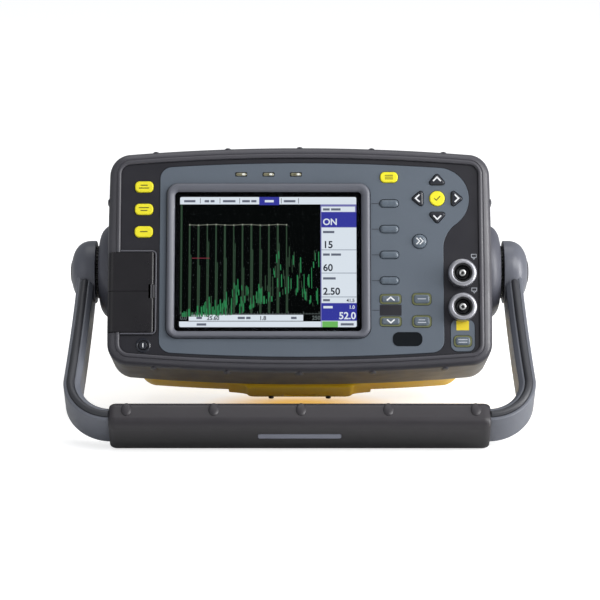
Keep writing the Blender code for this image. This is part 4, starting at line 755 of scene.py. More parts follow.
def bowed(points, inset):
    """The outline with its two sides bulging a little; the bulge fades out over the first millimetres."""
    weight = 0.9 * max(0, 1 - inset / 6)
    result = []
    for x, z in points:
        bulge = weight * max(0, 1 - ((z + 14) / 74) ** 2) if abs(x) > 100 else 0
        result.append((x + math.copysign(bulge, x), z))
    return result


def make_bumper():
    rings = [at_depth(bowed(BUMPER.inset(inset).points(side_steps=12), inset), y)
             for inset, y in bumper_profile()]
    bumper = draft("bumper_ring", [rings], CASE, closed=True)
    cuts = [turned(f"boss_cut_{name}", [(BOSS_RADIUS + GAP, x) for x in (116, 132)], "X", steps=72, side=side,
                   closed=False) for side, name in SIDES]
    door_cut = block("door_cut", (-130, -60, RECESS_BOTTOM), (RECESS_RIGHT, -34.7, RECESS_TOP))
    carve(bumper, "DIFFERENCE", *cuts, door_cut)
    spots = []
    for i in range(-2, 3):
        x = i * 47.2
        spots.append(((x, -44, BUMPER.top_at(x)), (2.6, 7, 1.3)))
        spots.append(((x, -44, BUMPER.bottom_at(x)), (2.6, 7, 1.3)))
    for side in (-1, 1):
        spots.append(((side * 124.7, -44, 37.5), (1.3, 7, 2.6)))
    add_ellipsoids(bumper, CASE, spots)
    finish(bumper, "bumper_rubber", replaces=["bumper"], slot="bumper_rubber")


def barrel_holes(radius):
    return plates("barrel_holes", [circle(centre, radius, 48) for centre in SOCKETS.values()], -62, -45)


def raised_field(outline):
    """Rings of a thin panel with a chamfered front edge; the outline is a function of growth."""
    return [at_depth(outline(-0.25), FASCIA_FRONT), at_depth(outline(0), FASCIA_FRONT + 0.25),
            at_depth(outline(0), SEAT)]


def make_face():
    """The dark membrane, the blue-grey field and the small one at the sockets."""
    overlay = prism("face_membrane", BUMPER.inset(7.9).points(), OVERLAY_FRONT, SEAT)
    fascia_cut = prism("fascia_cut", fascia_outline(GAP), *THROUGH)
    source_cut = prism("source_cut", source_outline(GAP), *THROUGH)
    recess_cut = prism("recess_cut", recess_outline(RECESS_RIM + GAP), *THROUGH)
    carve(overlay, "DIFFERENCE", fascia_cut, source_cut, recess_cut, make_key_holes(), barrel_holes(6.5))
    finish(overlay, "dark_overlay", replaces=["front_overlay"], slot="dark_overlay")

    field = draft("control_field", [raised_field(fascia_outline)], CASE)
    bezel_cut = prism("bezel_cut", rounded_box(BEZEL_PLACE, BEZEL, 7, 0.45, 12), *THROUGH)
    lamp_cut = plates("lamp_cut", [rounded_box(centre, LAMP_SIZE, 0.2, GAP, 2) for centre in LAMPS], *THROUGH)
    carve(field, "DIFFERENCE", bezel_cut, lamp_cut, make_key_holes())
    finish(field, "blue_grey_overlay", replaces=["control_fascia"], slot="blue_grey_overlay")

    small = draft("source_field", [raised_field(source_outline)], CASE)
    carve(small, "DIFFERENCE", make_key_holes(), barrel_holes(9.55))
    finish(small, "blue_grey_overlay", replaces=["source_fascia"], slot="blue_grey_overlay")


PROBE_ICON = (  # two lines, from a place beside each socket
    ((-1.6, 1.6), (1.6, 1.6), (1.6, -0.4), (-1.6, -0.4), (-1.6, 1.8)),
    ((-0.9, -0.5), (0, -1.7), (0.9, -0.5)),
)


def printed(name, outlines, look, front=FASCIA_FRONT, height=INK):
    """Print or a thin label; it reaches a little into what it lies on."""
    finish(plates(name, outlines, front - height, front + 0.1), look)


def make_prints():
    """What is printed or stuck on the face."""
    gain_x = GAIN_UP[0]
    gain_z = (GAIN_UP[1] + GAIN_DOWN[1]) / 2
    rows = [z for x, z in SOFT_KEYS] + [gain_z]
    printed("leader_lines", [rectangle(47.0, z - 0.2, 51.7, z + 0.2) for z in rows], "print_dark")
    printed("gain_bar", [centred(gain_x, gain_z, 14.2, 7.1)], "dark_overlay")
    badge = prism("blank_badge", rounded_box((69.9, -54.4), (19.2, 9.2), 4.0), FASCIA_FRONT - 0.35,
                  FASCIA_FRONT + 0.1)
    finish(soften(badge, 0.15, 2), "badge_dark")
    printed("plain_label", [rectangle(101.5, -48.6, 109.7, -42.5)], "label_yellow", height=0.12)
    icons = [stroke([(x + 7.8 + u, z + 11.5 + v) for u, v in line], 0.35)
             for x, z in SOCKETS.values() for line in PROBE_ICON]
    printed("probe_icons", icons, "print_light", OVERLAY_FRONT)
    profile = [(radius, OVERLAY_FRONT + y) for radius, y in
               ((3.5, 0.1), (3.5, -0.3), (3.8, -0.6), (4.3, -0.6), (4.8, -0.2), (4.9, 0.1))]
    finish(turned("power_ring", profile, "Y", POWER), "dark_key")


# Display

def make_bezel():
    """A raised frame: a short outer wall, a crest and a long rounded slope down to the window."""
    outer = [(0.0, SEAT), (0.0, -54.2), (-0.12, -55.0), (-0.45, -55.7), (-0.95, -56.2), (-1.6, -56.45)]
    inner = [(3.6, -56.5), (2.9, -56.4), (2.2, -56.15), (1.5, -55.75), (0.9, -55.2), (0.45, -54.6),
             (0.2, -54.0), (2.9, -54.0), (2.9, SEAT)]
    rings = [at_depth(rounded_box(BEZEL_PLACE, BEZEL, 7, grow, 12), y) for grow, y in outer]
    rings += [at_depth(rounded_box(SCREEN, WINDOW, 2.5, grow, 12), y) for grow, y in inner]
    bezel = draft("bezel_frame", [rings], CASE, closed=True)
    finish(bezel, "bezel_grey", replaces=["display_bezel"], slot="bezel_grey", angle=40)


def make_window():
    pane = prism("window_pane", rounded_box(SCREEN, WINDOW, 2.5, 2.6), -53.7, SEAT)
    finish(pane, "window", replaces=["display_window"], slot="clear_window")
    outer = rounded_box(SCREEN, WINDOW, 2.5, 2.5)
    inner = rounded_box(SCREEN, LIT, 1.2)
    rings = [at_depth(outline, y) for outline, y in ((outer, -52.25), (inner, -52.25), (inner, -52.2),
                                                     (outer, -52.2))]
    border = draft("window_border", [rings], CASE, closed=True)
    finish(border, "black_border")


def lettering(text, left, bottom, height, front):
    """Mesh of a number, or of ON, whose lower left corner is given."""
    curve = bpy.data.curves.new("figures", "FONT")
    curve.body = text
    curve.extrude = 0.01
    curve.offset = 0.022
    holder = placed("figures", curve)
    bpy.context.view_layer.update()
    mesh = bpy.data.meshes.new_from_object(holder.evaluated_get(bpy.context.evaluated_depsgraph_get()))
    bpy.data.objects.remove(holder)
    size = height / max(vertex.co.y for vertex in mesh.vertices)
    upright = Matrix.Rotation(math.pi / 2, 4, "X")
    mesh.transform(CASE @ Matrix.Translation((left, front, bottom)) @ upright @ Matrix.Scale(size, 4))
    return mesh


def joined(name, meshes):
    work = bmesh.new()
    for mesh in meshes:
        work.from_mesh(mesh)
    return object_from(name, work)


class Picture:
    """The display's picture: flat plates behind the window, each layer in front of the one before."""

    LEFT = SCREEN[0] - LIT[0] / 2
    TOP = SCREEN[1] + LIT[1] / 2
    DEEPEST = -51.78
    STEP = 0.05  # from one layer to the next

    def __init__(self):
        self.layers = {}
        self.words = {}

    def area(self, look, left, top, right, bottom, layer=1):
        """A rectangle; distances in millimetres from the lit area's upper left corner."""
        outline = rectangle(self.LEFT + left, self.TOP - bottom, self.LEFT + right, self.TOP - top)
        self.layers.setdefault((look, layer), []).append(outline)

    def line(self, look, points, width, layer=2):
        moved = [(self.LEFT + u, self.TOP - v) for u, v in points]
        self.layers.setdefault((look, layer), []).append(stroke(moved, width))

    def number(self, look, text, left, bottom, height, layer=3):
        mesh = lettering(text, self.LEFT + left, self.TOP - bottom, height, self.DEEPEST - self.STEP * layer)
        self.words.setdefault((look, layer), []).append(mesh)

    def caption(self, look, left, middle, widths, layer=3):
        """Greyed bars that stand for words."""
        for width in widths:
            self.area(look, left, middle - 0.75, left + width, middle + 0.75, layer)
            left += width + 0.9

    def make(self):
        for (look, layer), outlines in self.layers.items():
            front = self.DEEPEST - self.STEP * layer
            finish(plates(f"picture_{look}_{layer}", outlines, front, front + 0.03), f"screen_{look}")
        for (look, layer), meshes in self.words.items():
            finish(joined(f"figures_{look}_{layer}", meshes), f"screen_{look}")


def make_tabs(picture):
    picture.area("white", 0, 0, 92, 4.9)
    for u in (13.0, 25.9, 38.8, 66.0, 77.2):
        picture.area("ink", u, 0.8, u + 0.35, 4.3, 2)
    picture.area("blue", 51.7, 0, 64.9, 5.4, 3)
    for u, widths in ((2.6, (7.4,)), (16.0, (3.0, 2.6)), (28.0, (8.2,)), (40.6, (5.0, 3.4)), (67.8, (7.6,))):
        picture.caption("words", u, 2.8, widths)
    picture.caption("white", 55.4, 2.8, (5.8,), 4)


def make_scan(picture):
    """The echo trace: tall thin calibration echoes under a curve, growing noise, a gate and dots."""
    ground = 77.0
    first = 6.4
    pitch = 5.75
    tops = []
    for i in range(12):
        u = first + i * pitch
        top = 18.6 + 0.25 * math.sin(i * 1.7)
        tops.append((u, top))
        picture.line("trace", [(u, top), (u - 0.1, ground)], 1.0 + 0.3 * math.sin(i * 2.1))
        picture.line("trace", [(u + 0.95, top + 20 + 9 * math.sin(i * 2.3)), (u + 0.6, ground)], 0.7)
        picture.area("curve", u - 0.35, top - 0.5, u + 0.35, top + 0.5, 4)
    for start, end in zip(tops, tops[1:]):
        picture.line("curve", [start, end], 0.22, 3)
    picture.area("trace", 0.4, 4.9, 1.6, ground)
    make_noise(picture)
    picture.area("gate", 8.0, 40.6, 19.6, 40.95, 4)
    for row in range(8):
        v = 11.5 + row * 8.1
        for column in range(10):
            at = 9 + column * 8.9
            picture.area("dots", at - 0.17, v - 0.17, at + 0.17, v + 0.17, 2)
    picture.area("dots", 0.4, ground + 0.5, 91.4, ground + 0.75, 2)
    for tick in range(46):
        at = 0.8 + tick * 2
        high = 1.6 if tick % 5 == 0 else 0.6
        picture.area("dots", at - 0.15, ground + 0.6 - high, at + 0.15, ground + 0.6, 2)


NOISE_ENVELOPE = [  # distance across, highest and lowest reach of the trace from the top
    (0, 76, 77), (11, 73, 77), (18, 64, 77), (26, 69, 76.5), (33, 58, 76), (40, 52, 75), (46, 60, 72),
    (52, 56, 69), (58, 50, 68), (62, 26, 66), (68, 20, 62), (73, 34, 62), (80, 40, 64), (84, 30, 68),
    (91, 26, 74),
]


def envelope(u):
    for (u0, high0, low0), (u1, high1, low1) in zip(NOISE_ENVELOPE, NOISE_ENVELOPE[1:]):
        if u <= u1:
            share = (u - u0) / (u1 - u0)
            return high0 + (high1 - high0) * share, low0 + (low1 - low0) * share
    return NOISE_ENVELOPE[-1][1:]


def make_noise(picture):
    """Upright strokes of echoes under the envelope's upper reach."""
    chance = random.Random(11)
    u = 1.2
    while u < 90.6:
        high, low = envelope(u)
        top = low - (low - high) * chance.random() ** 1.3
        foot = min(low + 2.5, top + 3 + 11 * chance.random())
        look = "echo" if chance.random() < 0.7 else "trace"
        picture.line(look, [(u, top), (u + 0.25 * chance.random(), foot)], 0.4 + 0.35 * chance.random(), 3)
        u += 0.45 + 0.35 * chance.random()


def make_status(picture):
    picture.area("white", 6.2, 78.2, 80.5, 82.2)
    picture.area("white", 0, 82.6, 92, 86.4)
    picture.number("dots", "0.0", 0.6, 81.4, 2.6, 2)
    picture.number("dots", "250", 86.2, 81.4, 2.6, 2)
    for u, text in ((18, "25.60"), (52, "1.8")):
        picture.number("ink", text, u, 81.6, 2.6, 2)
    picture.caption("words", 11.2, 80.3, (3.6,))
    picture.caption("words", 38.0, 80.3, (4.6, 2.8))
    picture.caption("words", 72.6, 80.3, (3.6,))
    picture.caption("words", 11.4, 84.6, (6.2,))


def make_menu_column(picture):
    """The column at the right: blocks for the four soft keys and the gain."""
    left = 92.4
    right = 115.2
    picture.area("white", 91, 0, right, 4.9)
    picture.area("violet", left - 0.6, 4.9, right, 86.4, 1)
    picture.area("white", left, 6.4, right - 0.8, 9.9, 2)
    picture.area("blue", left, 10.2, right, 20.0, 2)
    blocks = ((20.4, 35.0), (35.5, 50.4), (50.9, 66.2), (66.7, 70.4))
    for top, bottom in blocks:
        picture.area("white", left, top, right, bottom, 2)
    for top in (35.0, 50.4, 66.2):
        picture.area("grey", left, top, right, top + 0.5, 2)
    picture.area("blue", left, 70.7, right, 82.0, 2)
    picture.area("white", left, 82.2, right, 86.4, 2)
    picture.area("lime", left + 0.4, 82.5, left + 10.6, 86.4, 3)
    picture.number("white", "ON", left + 0.9, 18.6, 4.2)
    for bottom, text in ((34.0, "15"), (49.2, "60"), (64.9, "2.50")):
        picture.number("ink", text, left + 1.0, bottom, 4.6)
    picture.number("ink", "41.5", right - 6.6, 69.8, 2.2)
    picture.number("white", "52.0", right - 11.6, 81.0, 4.6)
    picture.number("white", "1.0", right - 5.0, 74.2, 2.2)
    captions = ((8.3, (4.4, 6.2)), (23.4, (7.4,)), (38.4, (4.4, 6.4)), (54.2, (8.2,)), (68.6, (4.4,)))
    for middle, widths in captions:
        picture.caption("words", left + 1.0, middle, widths)
    picture.caption("white", left + 1.2, 73.2, (6.0,))
    picture.caption("words", left + 12.4, 84.5, (8.4,))


def make_display():
    picture = Picture()
    picture.area("black", 0, 0, LIT[0], LIT[1], 0)
    make_tabs(picture)
    make_scan(picture)
    make_status(picture)
    make_menu_column(picture)
    picture.make()


def make_lamps():
    """Three indicator lenses with softly domed fronts; a white spot right of centre in each is a painted
    highlight.
    """
    dome = ((1.0, -0.45), (0.7, -0.38), (0.35, -0.22), (0.1, -0.02), (0, 0.2), (0, 0.75))
    for i, centre in enumerate(LAMPS):
        rings = [at_depth(rounded_box(centre, LAMP_SIZE, 1.1, -inset), FASCIA_FRONT + y) for inset, y in dome]
        finish(draft(f"lamp_lens_{i + 1}", [rings], CASE), "lens")
        # Painted highlight: a white body that pokes through the lens's front, right of centre.
        glint = draft(f"lamp_glint_{i + 1}", [], CASE)
        add_ellipsoids(glint, CASE, [((centre[0] + 1.5, FASCIA_FRONT - 0.2, centre[1]), (1.5, 0.35, 0.75))])
        finish(glint, "painted_glint")


# Probe sockets

SOCKET_FRONT = -59.7


def socket_piece(place, name, profile, look, steps=48, closed=True, **dress):
    """A turned piece of a probe socket; the profile's depths are behind the socket's front."""
    rings = [(radius, SOCKET_FRONT + depth) for radius, depth in profile]
    piece = turned(f"socket_{name}_{place}", rings, "Y", SOCKETS[place], steps, closed=closed)
    finish(piece, look, **dress)


def make_sockets():
    shell = [(6.2, 20.7), (6.2, 6.5), (9.25, 6.5), (9.25, 1.9), (9.1, 1.2), (8.7, 0.55), (8.1, 0.15),
             (7.6, 0), (6.8, 0), (6.45, 0.2), (6.2, 0.6), (6.1, 1.6), (5.2, 2.0), (5.2, 20.7)]
    liner = [(6.05, 1.1), (6.05, 1.7), (5.15, 2.1), (5.15, 9.7), (4.85, 9.7), (4.85, 2.3), (5.3, 1.5)]
    core = [(4.85, 21.7), (4.85, 5.2), (4.4, 4.9), (3.2, 4.9), (2.6, 5.2), (2.6, 21.7)]
    sleeve = [(4.3, 5.4), (4.3, 3.0), (4.15, 2.8), (3.9, 2.8), (3.75, 3.0), (3.75, 5.4)]
    tip = [(2.3, 20.7), (2.3, 2.6), (2.15, 2.3), (1.85, 2.2), (1.3, 2.2), (1.05, 2.4), (1.05, 7.2),
           (0.02, 7.4)]
    # Painted shade: a black disc just inside the contact's bore darkens the hole, where shade falls.
    hole = [(1.0, 3.4), (1.0, 2.7), (0.02, 2.7)]
    for place in SOCKETS:
        socket_piece(place, "shell", shell, "socket_metal", 72, replaces=[f"probe_socket_{place}"],
                     slot="socket_metal", angle=40)
        socket_piece(place, "liner", liner, "black_plastic")
        socket_piece(place, "core", core, "black_plastic", replaces=[f"socket_insulator_{place}"],
                     slot="black_plastic")
        socket_piece(place, "sleeve", sleeve, "socket_dark")
        socket_piece(place, "tip", tip, "contact_metal", 32, False, replaces=[f"socket_contact_{place}"],
                     slot="brass")
        # The black disc in the contact's bore is painted shade.
        socket_piece(place, "hole", hole, "black_plastic", 24, False)


# Doors

def door_shape(name, bottom, top, rounded):
    """An L-shaped cover that wraps the case's left edge; rounded is the end whose right corner is round."""
    left = -124.9
    front = -54.9
    turn = 4.5
    bend = [(left + turn - turn * cosine(a), front + turn - turn * sine(a))
            for a in range(0, 91, 9)]
    inner_x = left + 2.6
    inner_y = front + 2.6
    section = bend + [(DOOR_RIGHT, front), (DOOR_RIGHT, inner_y), (inner_x + 1.4, inner_y),
                      (inner_x + 0.4, inner_y + 0.4), (inner_x, inner_y + 1.4), (inner_x, -35), (left, -35)]
    rings = [[(x, y, z) for x, y in section] for z in (bottom, top)]
    door = draft(name, [rings], CASE)
    spare = 8
    low = bottom if rounded == "bottom" else bottom - spare
    high = top if rounded == "top" else top + spare
    middle_point = ((DOOR_RIGHT - 140) / 2, (low + high) / 2)
    trim = prism("trim", rounded_box(middle_point, (DOOR_RIGHT + 140, high - low), 2.6), -62, -20)
    carve(door, "INTERSECT", trim)
    return soften(door, 1.0, 4, 50)


def make_doors():
    ends = {"upper": (DOOR_SPLIT + 0.15, RECESS_TOP - GAP), "lower": (RECESS_BOTTOM + GAP, DOOR_SPLIT - 0.15)}
    knuckles = {"upper": (DOOR_SPLIT + EAR + GAP, RECESS_TOP - GAP),
                "lower": (RECESS_BOTTOM + GAP, DOOR_SPLIT - EAR - GAP)}
    for name, rounded in (("upper", "top"), ("lower", "bottom")):
        door = door_shape(f"door_{name}", *ends[name], rounded)
        web = round_corners([HINGE, (DOOR_RIGHT - 1, HINGE[1])], 1.5, 8)
        rings = [[(x, y, z) for x, y in web] for z in knuckles[name]]
        carve(door, "UNION", draft("knuckle", [rings], CASE))
        finish(door, "door_rubber", f"io_door_{name}_body", [f"io_door_{name}"], "door_rubber")
    make_recess_rim()


def make_recess_rim():
    """A thin rolled edge round the doors' recess, and the housing with rounded corners under it."""
    profile = ((0.4, -54.2), (0.4, -54.45), (0.55, -54.6), (0.8, -54.66), (1.05, -54.6),
               (1.25, -54.42), (1.25, -54.2))
    rings = [at_depth(recess_outline(grow), y) for grow, y in profile]
    rim = draft("recess_rim", [rings], CASE, closed=True)
    carve(rim, "DIFFERENCE", block("rim_end", (-135, -60, -60), (-116.6, -50, 10)))
    # The rolled edge catches real light; its grey, lighter than the dark housing, is partly a painted
    # highlight.
    finish(rim, "rim_highlight_grey", angle=50)

    housing = placed("housing_shell", frame["nodes"]["front_housing"].data.copy())
    ends = (RECESS_TOP + RECESS_RIM, RECESS_BOTTOM - RECESS_RIM)
    edge = RECESS_RIGHT + RECESS_RIM
    corners = plates("corners", [rectangle(edge - 4, z - 4, edge + 1, z + 4) for z in ends], -60, PLATE)
    carve(corners, "DIFFERENCE", prism("kept", recess_outline(RECESS_RIM), -62, PLATE + 1))
    carve(housing, "DIFFERENCE", corners)
    finish(housing, "dark_housing", replaces=["front_housing"], slot="dark_housing", angle=30)


# Rear casing and battery door

def make_rear_casing():
    rounding = 9
    back = 59.9
    profile = [(8.5, back - 2.5), (2.5, back - 9.5), (2.5, 6.4), (0, 6.4)]
    profile += [(rounding * (1 - cosine(a)), back - rounding * (1 - sine(a))) for a in range(0, 91, 9)]
    profile += [(14, back), (14.5, back - 0.5), (16.5, back - 0.6)]
    rings = [at_depth(CASING.inset(inset).points(), y) for inset, y in profile]
    casing = draft("casing_shell", [rings], CASE)
    pad_radius = 30.5
    reach = math.degrees(math.acos(6.4 / pad_radius))
    for side in (-1, 1):
        outline = arc((0, 0), pad_radius, -reach, reach, 40)
        pad = draft(f"pad_{side}", [[[(side * x, y, z) for y, z in outline] for x in (108.5, 120)]], CASE)
        carve(casing, "UNION", pad)
    seat = block("door_seat", (-48.5, 8.8, -73.2), (48.5, 54.8, -70.9))
    carve(casing, "UNION", seat)
    pocket = block("battery_pocket", (-31.8, 13, -83), (31.8, 50.6, -2.4))
    screws = [(88 * sx, 48 * sz) for sx in (-1, 1) for sz in (-1, 1)]
    wells = [turned(f"well_{i}", [(3.6, 58.2), (3.6, 65)], "Y", spot, 32, closed=False)
             for i, spot in enumerate(screws)]
    carve(casing, "DIFFERENCE", pocket, *wells)
    finish(casing, "yellow_plastic", replaces=["rear_casing"], slot="yellow_plastic")
    head = [(2.8, 57.9), (2.8, 59.2), (2.5, 59.55), (1.6, 59.7), (1.5, 58.9), (0.02, 58.8)]
    heads = [turned_rings(head, "Y", spot, 32) for spot in screws]
    finish(draft("casing_screws", heads, CASE), "steel")


def make_battery_door():
    top = -73.5
    bottom = -77.0
    sections = [(14, 0, top)]
    for i in range(9):
        share = i / 8
        sections.append((1.2 + 12.8 * (1 - share) ** 2, 0, top - 0.4 - 2.3 * share ** 1.1))
    sections += [(0.6, -0.1, bottom + 0.45), (-0.2, -0.5, bottom + 0.12), (-1.2, -1.2, bottom)]
    rings = []
    for flare, depth, z in sections:
        outline = rounded_box((0, 31.8), (69 + 2 * flare, 46 + 2 * depth), 4)
        rings.append([(x, y, z) for x, y in outline])
    door = draft("battery_cover", [rings], CASE)
    latch = rounded_box((0, 45.8), (22, 7), 2.5)
    groove = draft("latch_cut", [[[(x, y, z) for x, y in latch] for z in (bottom - 2, bottom + 0.6)]], CASE)
    carve(door, "DIFFERENCE", groove)
    finish(door, "yellow_plastic", replaces=["battery_door"], slot="yellow_plastic")
    for side, name in SIDES:
        profile = [(1.8, bottom + 0.1), (1.8, bottom - 1.0), (1.7, bottom - 1.25), (1.45, bottom - 1.42),
                   (1.1, bottom - 1.5)]
        foot = turned(f"foot_{name}", profile, "Z", (side * 19.6, 51.7), 32, closed=False)
        finish(foot, "grip_rubber", replaces=[f"rear_foot_{name}"], slot="grip_rubber")


# Pivots

def make_pivots():
    for side, name in SIDES:
        boss = [(4.3, 120.3), (BOSS_RADIUS, 120.3), (BOSS_RADIUS, 124.6), (31.3, 126.5), (30.8, 128),
                (30, 129.3), (28.8, 130.6), (27.2, 131.8), (25.2, 132.8), (22.8, 133.5), (20.5, 133.9),
                (19.4, 134), (4.3, 134)]
        finish(turned(f"boss_{name}", boss, "X", steps=96, side=side), "boss_grey",
               replaces=[f"pivot_boss_{name}"], slot="bezel_grey", angle=40)
        finish(toothed_washer(f"toothed_washer_{name}", side), "black_plastic",
               replaces=[f"friction_washer_{name}"], slot="black_plastic")
        head = [(4, 110), (4, 149.1), (8.5, 149.1), (8.5, 151.8), (8.2, 152.4), (7.2, 152.9), (5.5, 153.3),
                (3, 153.48), (0.02, 153.5)]
        bolt = turned(f"bolt_{name}", head, "X", steps=56, side=side, closed=False)
        finish(bolt, "black_plastic", replaces=[f"pivot_bolt_{name}"], slot="black_plastic")


def toothed_washer(name, side):
    """A ratchet ring between boss and hub."""
    teeth = 36
    rings = []
    for inner, x in ((True, 134.35), (False, 134.35), (False, 135.65), (True, 135.65)):
        ring = []
        for i in range(teeth * 4):
            angle = 2 * math.pi * i / (teeth * 4)
            radius = 4.4 if inner else (17.5 if i % 4 in (0, 1) else 16.4)
            ring.append((side * x, radius * math.cos(angle), radius * math.sin(angle)))
        rings.append(ring)
    return draft(name, [rings], CASE, closed=True)


# Handle

TOP_SPAN = 147.4
FOOT_SPAN = 152.1
CORNER = 31.5
OUTER = 131.9


def arm_x(down):
    """Half the span of the arms' outer faces, which curve out a little, at a distance below the pivots."""
    share = down / (OUTER - CORNER)
    return TOP_SPAN + (FOOT_SPAN - TOP_SPAN) * (0.43 * share + 0.57 * share ** 2)


def arm_path(start, end=90, steps=28):
    """Stations down the strap's outer face and round its corner: (x, z, outward direction)."""
    corner_x = FOOT_SPAN - CORNER
    corner_z = CORNER - OUTER
    stations = []
    for i in range(6):
        down = start + (-corner_z - start) * i / 6
        stations.append((arm_x(down), -down, 0))
    for i in range(steps + 1):
        angle = end * i / steps
        stations.append((corner_x + CORNER * cosine(angle), corner_z - CORNER * sine(angle), angle))
    return stations


def sweep(stations, sections, mirrored=False):
    """Rings of sections of (inwards from the outer face, through the width) pairs."""
    rings = []
    sign = -1 if mirrored else 1
    for (x, z, angle), section in zip(stations, sections):
        rings.append([(sign * (x - inwards * cosine(angle)), depth, z + inwards * sine(angle))
                      for inwards, depth in section])
    return rings


STRAP_SECTION = [  # inwards from the outer face, and depth
    (0, -10.9), (0.25, -11.6), (0.9, -12), (2.1, -12), (2.3, -11.5), (7.1, -11.5), (7.35, -12), (8.1, -12),
    (8.5, -11.8), (10.7, -9.6), (11, -8.9), (11, 11), (10.7, 11.7), (10, 12), (1, 12), (0.3, 11.7), (0, 11),
]


def make_strap():
    stations = arm_path(5)
    right = sweep(stations, [STRAP_SECTION] * len(stations))
    left = sweep(stations, [STRAP_SECTION] * len(stations), True)
    strap = draft("strap", [right + left[::-1]], HANDLE)
    finish(strap, "handle_grey", "handle", ["handle_frame"], "handle_grey")
    for side, name in SIDES:
        dome = [(4.3, 136.0), (20.4, 136.0), (20.85, 136.2), (21, 136.7)]
        for share in (1, 0.995, 0.985, 0.97, 0.95, 0.92, 0.88, 0.83, 0.77, 0.7, 0.62, 0.54, 0.46, 0.43):
            drop = 14.5 * (1 - (1 - share ** 2.5) ** 0.4)
            dome.append((21 * share, 153.0 - drop))
        dome += [(8.8, dome[-1][1] - 0.25), (8.8, 148.8), (4.3, 148.8)]
        hub = turned(f"hub_{name}", dome, "X", steps=96, side=side, place=HANDLE)
        finish(hub, "hub_grey", "handle", angle=40)


def make_beads():
    """Rubber beads let into the front edge of each arm; the upper end is rounded."""
    back = -11.3
    top = ((16.5, 0.3), (16.8, 0.6), (17.5, 0.85), (18.7, 1.0))  # distance below the axis, share of the width
    path = [(arm_x(down), -down, 0) for down, share in top] + arm_path(19.6, end_of_bead())
    shares = [share for down, share in top] + [1.0] * (len(path) - len(top))
    for name, mirrored in (("right", False), ("left", True)):
        sections = []
        for (x, z, angle), share in zip(path, shares):
            centre = 4.7 + 0.5 * max(0, 1 + z / (OUTER - CORNER))
            section = []
            for degrees in range(0, 181, 15):
                inwards = centre - 2.35 * share * cosine(degrees)
                section.append((inwards, back - 2.9 * share * sine(degrees) ** 0.75))
            sections.append(section)
        bead = draft(f"bead_{name}", [sweep(path, sections, mirrored)], HANDLE)
        finish(bead, "bead_rubber", "handle", [f"edge_bead_{name}"], "grip_rubber", 50)


def end_of_bead():
    return math.degrees(math.acos((121.9 - (FOOT_SPAN - CORNER)) / (CORNER - 7.2)))


def grip_outline(inset):
    """Section of the grip in (y, z)."""
    middle_z = -127.7
    return rounded_box((0, middle_z), (29.9, 19.5), 6, -inset, 8)


def make_grip():
    end = 121.6
    hole = rounded_box((0, -126.4), (22, 9), 2, 0, 8)

    def ring(x, outline):
        return [(x, y, z) for y, z in outline]

    rounding = [(2.6 * (1 - sine(a)), 4.5 * (1 - cosine(a)))
                for a in range(0, 91, 15)]
    rings = [ring(-end, hole)]
    rings += [ring(-end + distance, grip_outline(inset)) for inset, distance in rounding]
    rings += [ring(x, grip_outline(0)) for x in range(-110, 111, 20)]
    rings += [ring(end - distance, grip_outline(inset)) for inset, distance in rounding[::-1]]
    rings.append(ring(end, hole))
    grip = draft("grip_sleeve", [rings], HANDLE, closed=True)
    pocket = draft("inlay_cut", [inlay_rings(0.3, -139, -136.3)], HANDLE)
    carve(grip, "DIFFERENCE", pocket)
    spots = [((0.9 + 55.6 * i, -14.95, -125.7), (3.4, 1.3, 5)) for i in range(-2, 3)]
    add_ellipsoids(grip, HANDLE, spots)
    finish(grip, "grip_rubber", "handle", ["grip"], "grip_rubber")
    inlay = soften(draft("inlay_strip", [inlay_rings(0, -137.55, -136.6)], HANDLE), 0.2, 2, 60)
    finish(inlay, "inlay_grey", "handle", ["grip_inlay"], "inlay_grey")


def inlay_rings(grow, low, high):
    outline = rounded_box((0, -2), (53, 4.6), 1.2, grow, 6)
    return [[(x, y, z) for x, y in outline] for z in (low, high)]


# CAD nodes that keep their shape

def dress_nodes():
    looks = {
        "case_gasket": "gasket_rubber", "keypad_board": "board_green",
        "main_board": "board_green", "sounder": "black_plastic", "display_module": "black_border",
        "battery_pack": "battery_grey", "io_hinge_pin": "steel", "data_port": "steel",
        "power_inlet": "black_plastic", "indicator_light_guide": "black_border",
    }
    for node, look in looks.items():
        dress(frame["nodes"][node].data, look, 30)


# Studio

def for_camera(tree, seen, unseen):
    """One shader for what the camera sees straight on, and another for all other light."""
    ray = tree.nodes.new("ShaderNodeLightPath")
    chosen = tree.nodes.new("ShaderNodeMixShader")
    tree.links.new(ray.outputs["Is Camera Ray"], chosen.inputs[0])
    tree.links.new(unseen, chosen.inputs[1])
    tree.links.new(seen, chosen.inputs[2])
    return chosen.outputs[0]


def make_floor():
    """A white glossy table: it keeps the shadow and a soft reflection, plus a painted yellow one under the
    battery door.
    """
    mesh = bpy.data.meshes.new("table")
    mesh.from_pydata([(-4, -4, 0), (4, -4, 0), (4, 4, 0), (-4, 4, 0)], [], [(0, 1, 2, 3)])
    table = placed("table", mesh)
    made, tree, shader, place = new_material("table_look")
    shader.inputs["Base Color"].default_value = (0.9, 0.9, 0.9, 1)
    shader.inputs["Roughness"].default_value = 0.22
    emission = tree.nodes.new("ShaderNodeEmission")
    emission.inputs["Strength"].default_value = 0.66
    # Painted reflection: the camera-only emission turns yellow under the battery door.
    tree.links.new(painted_table_reflection(tree, place), emission.inputs["Color"])
    black = tree.nodes.new("ShaderNodeEmission")
    black.inputs["Strength"].default_value = 0.0
    total = tree.nodes.new("ShaderNodeAddShader")
    tree.links.new(shader.outputs[0], total.inputs[0])
    tree.links.new(for_camera(tree, emission.outputs[0], black.outputs[0]), total.inputs[1])
    tree.links.new(total.outputs[0], tree.nodes["Material Output"].inputs["Surface"])
    mesh.materials.append(made)


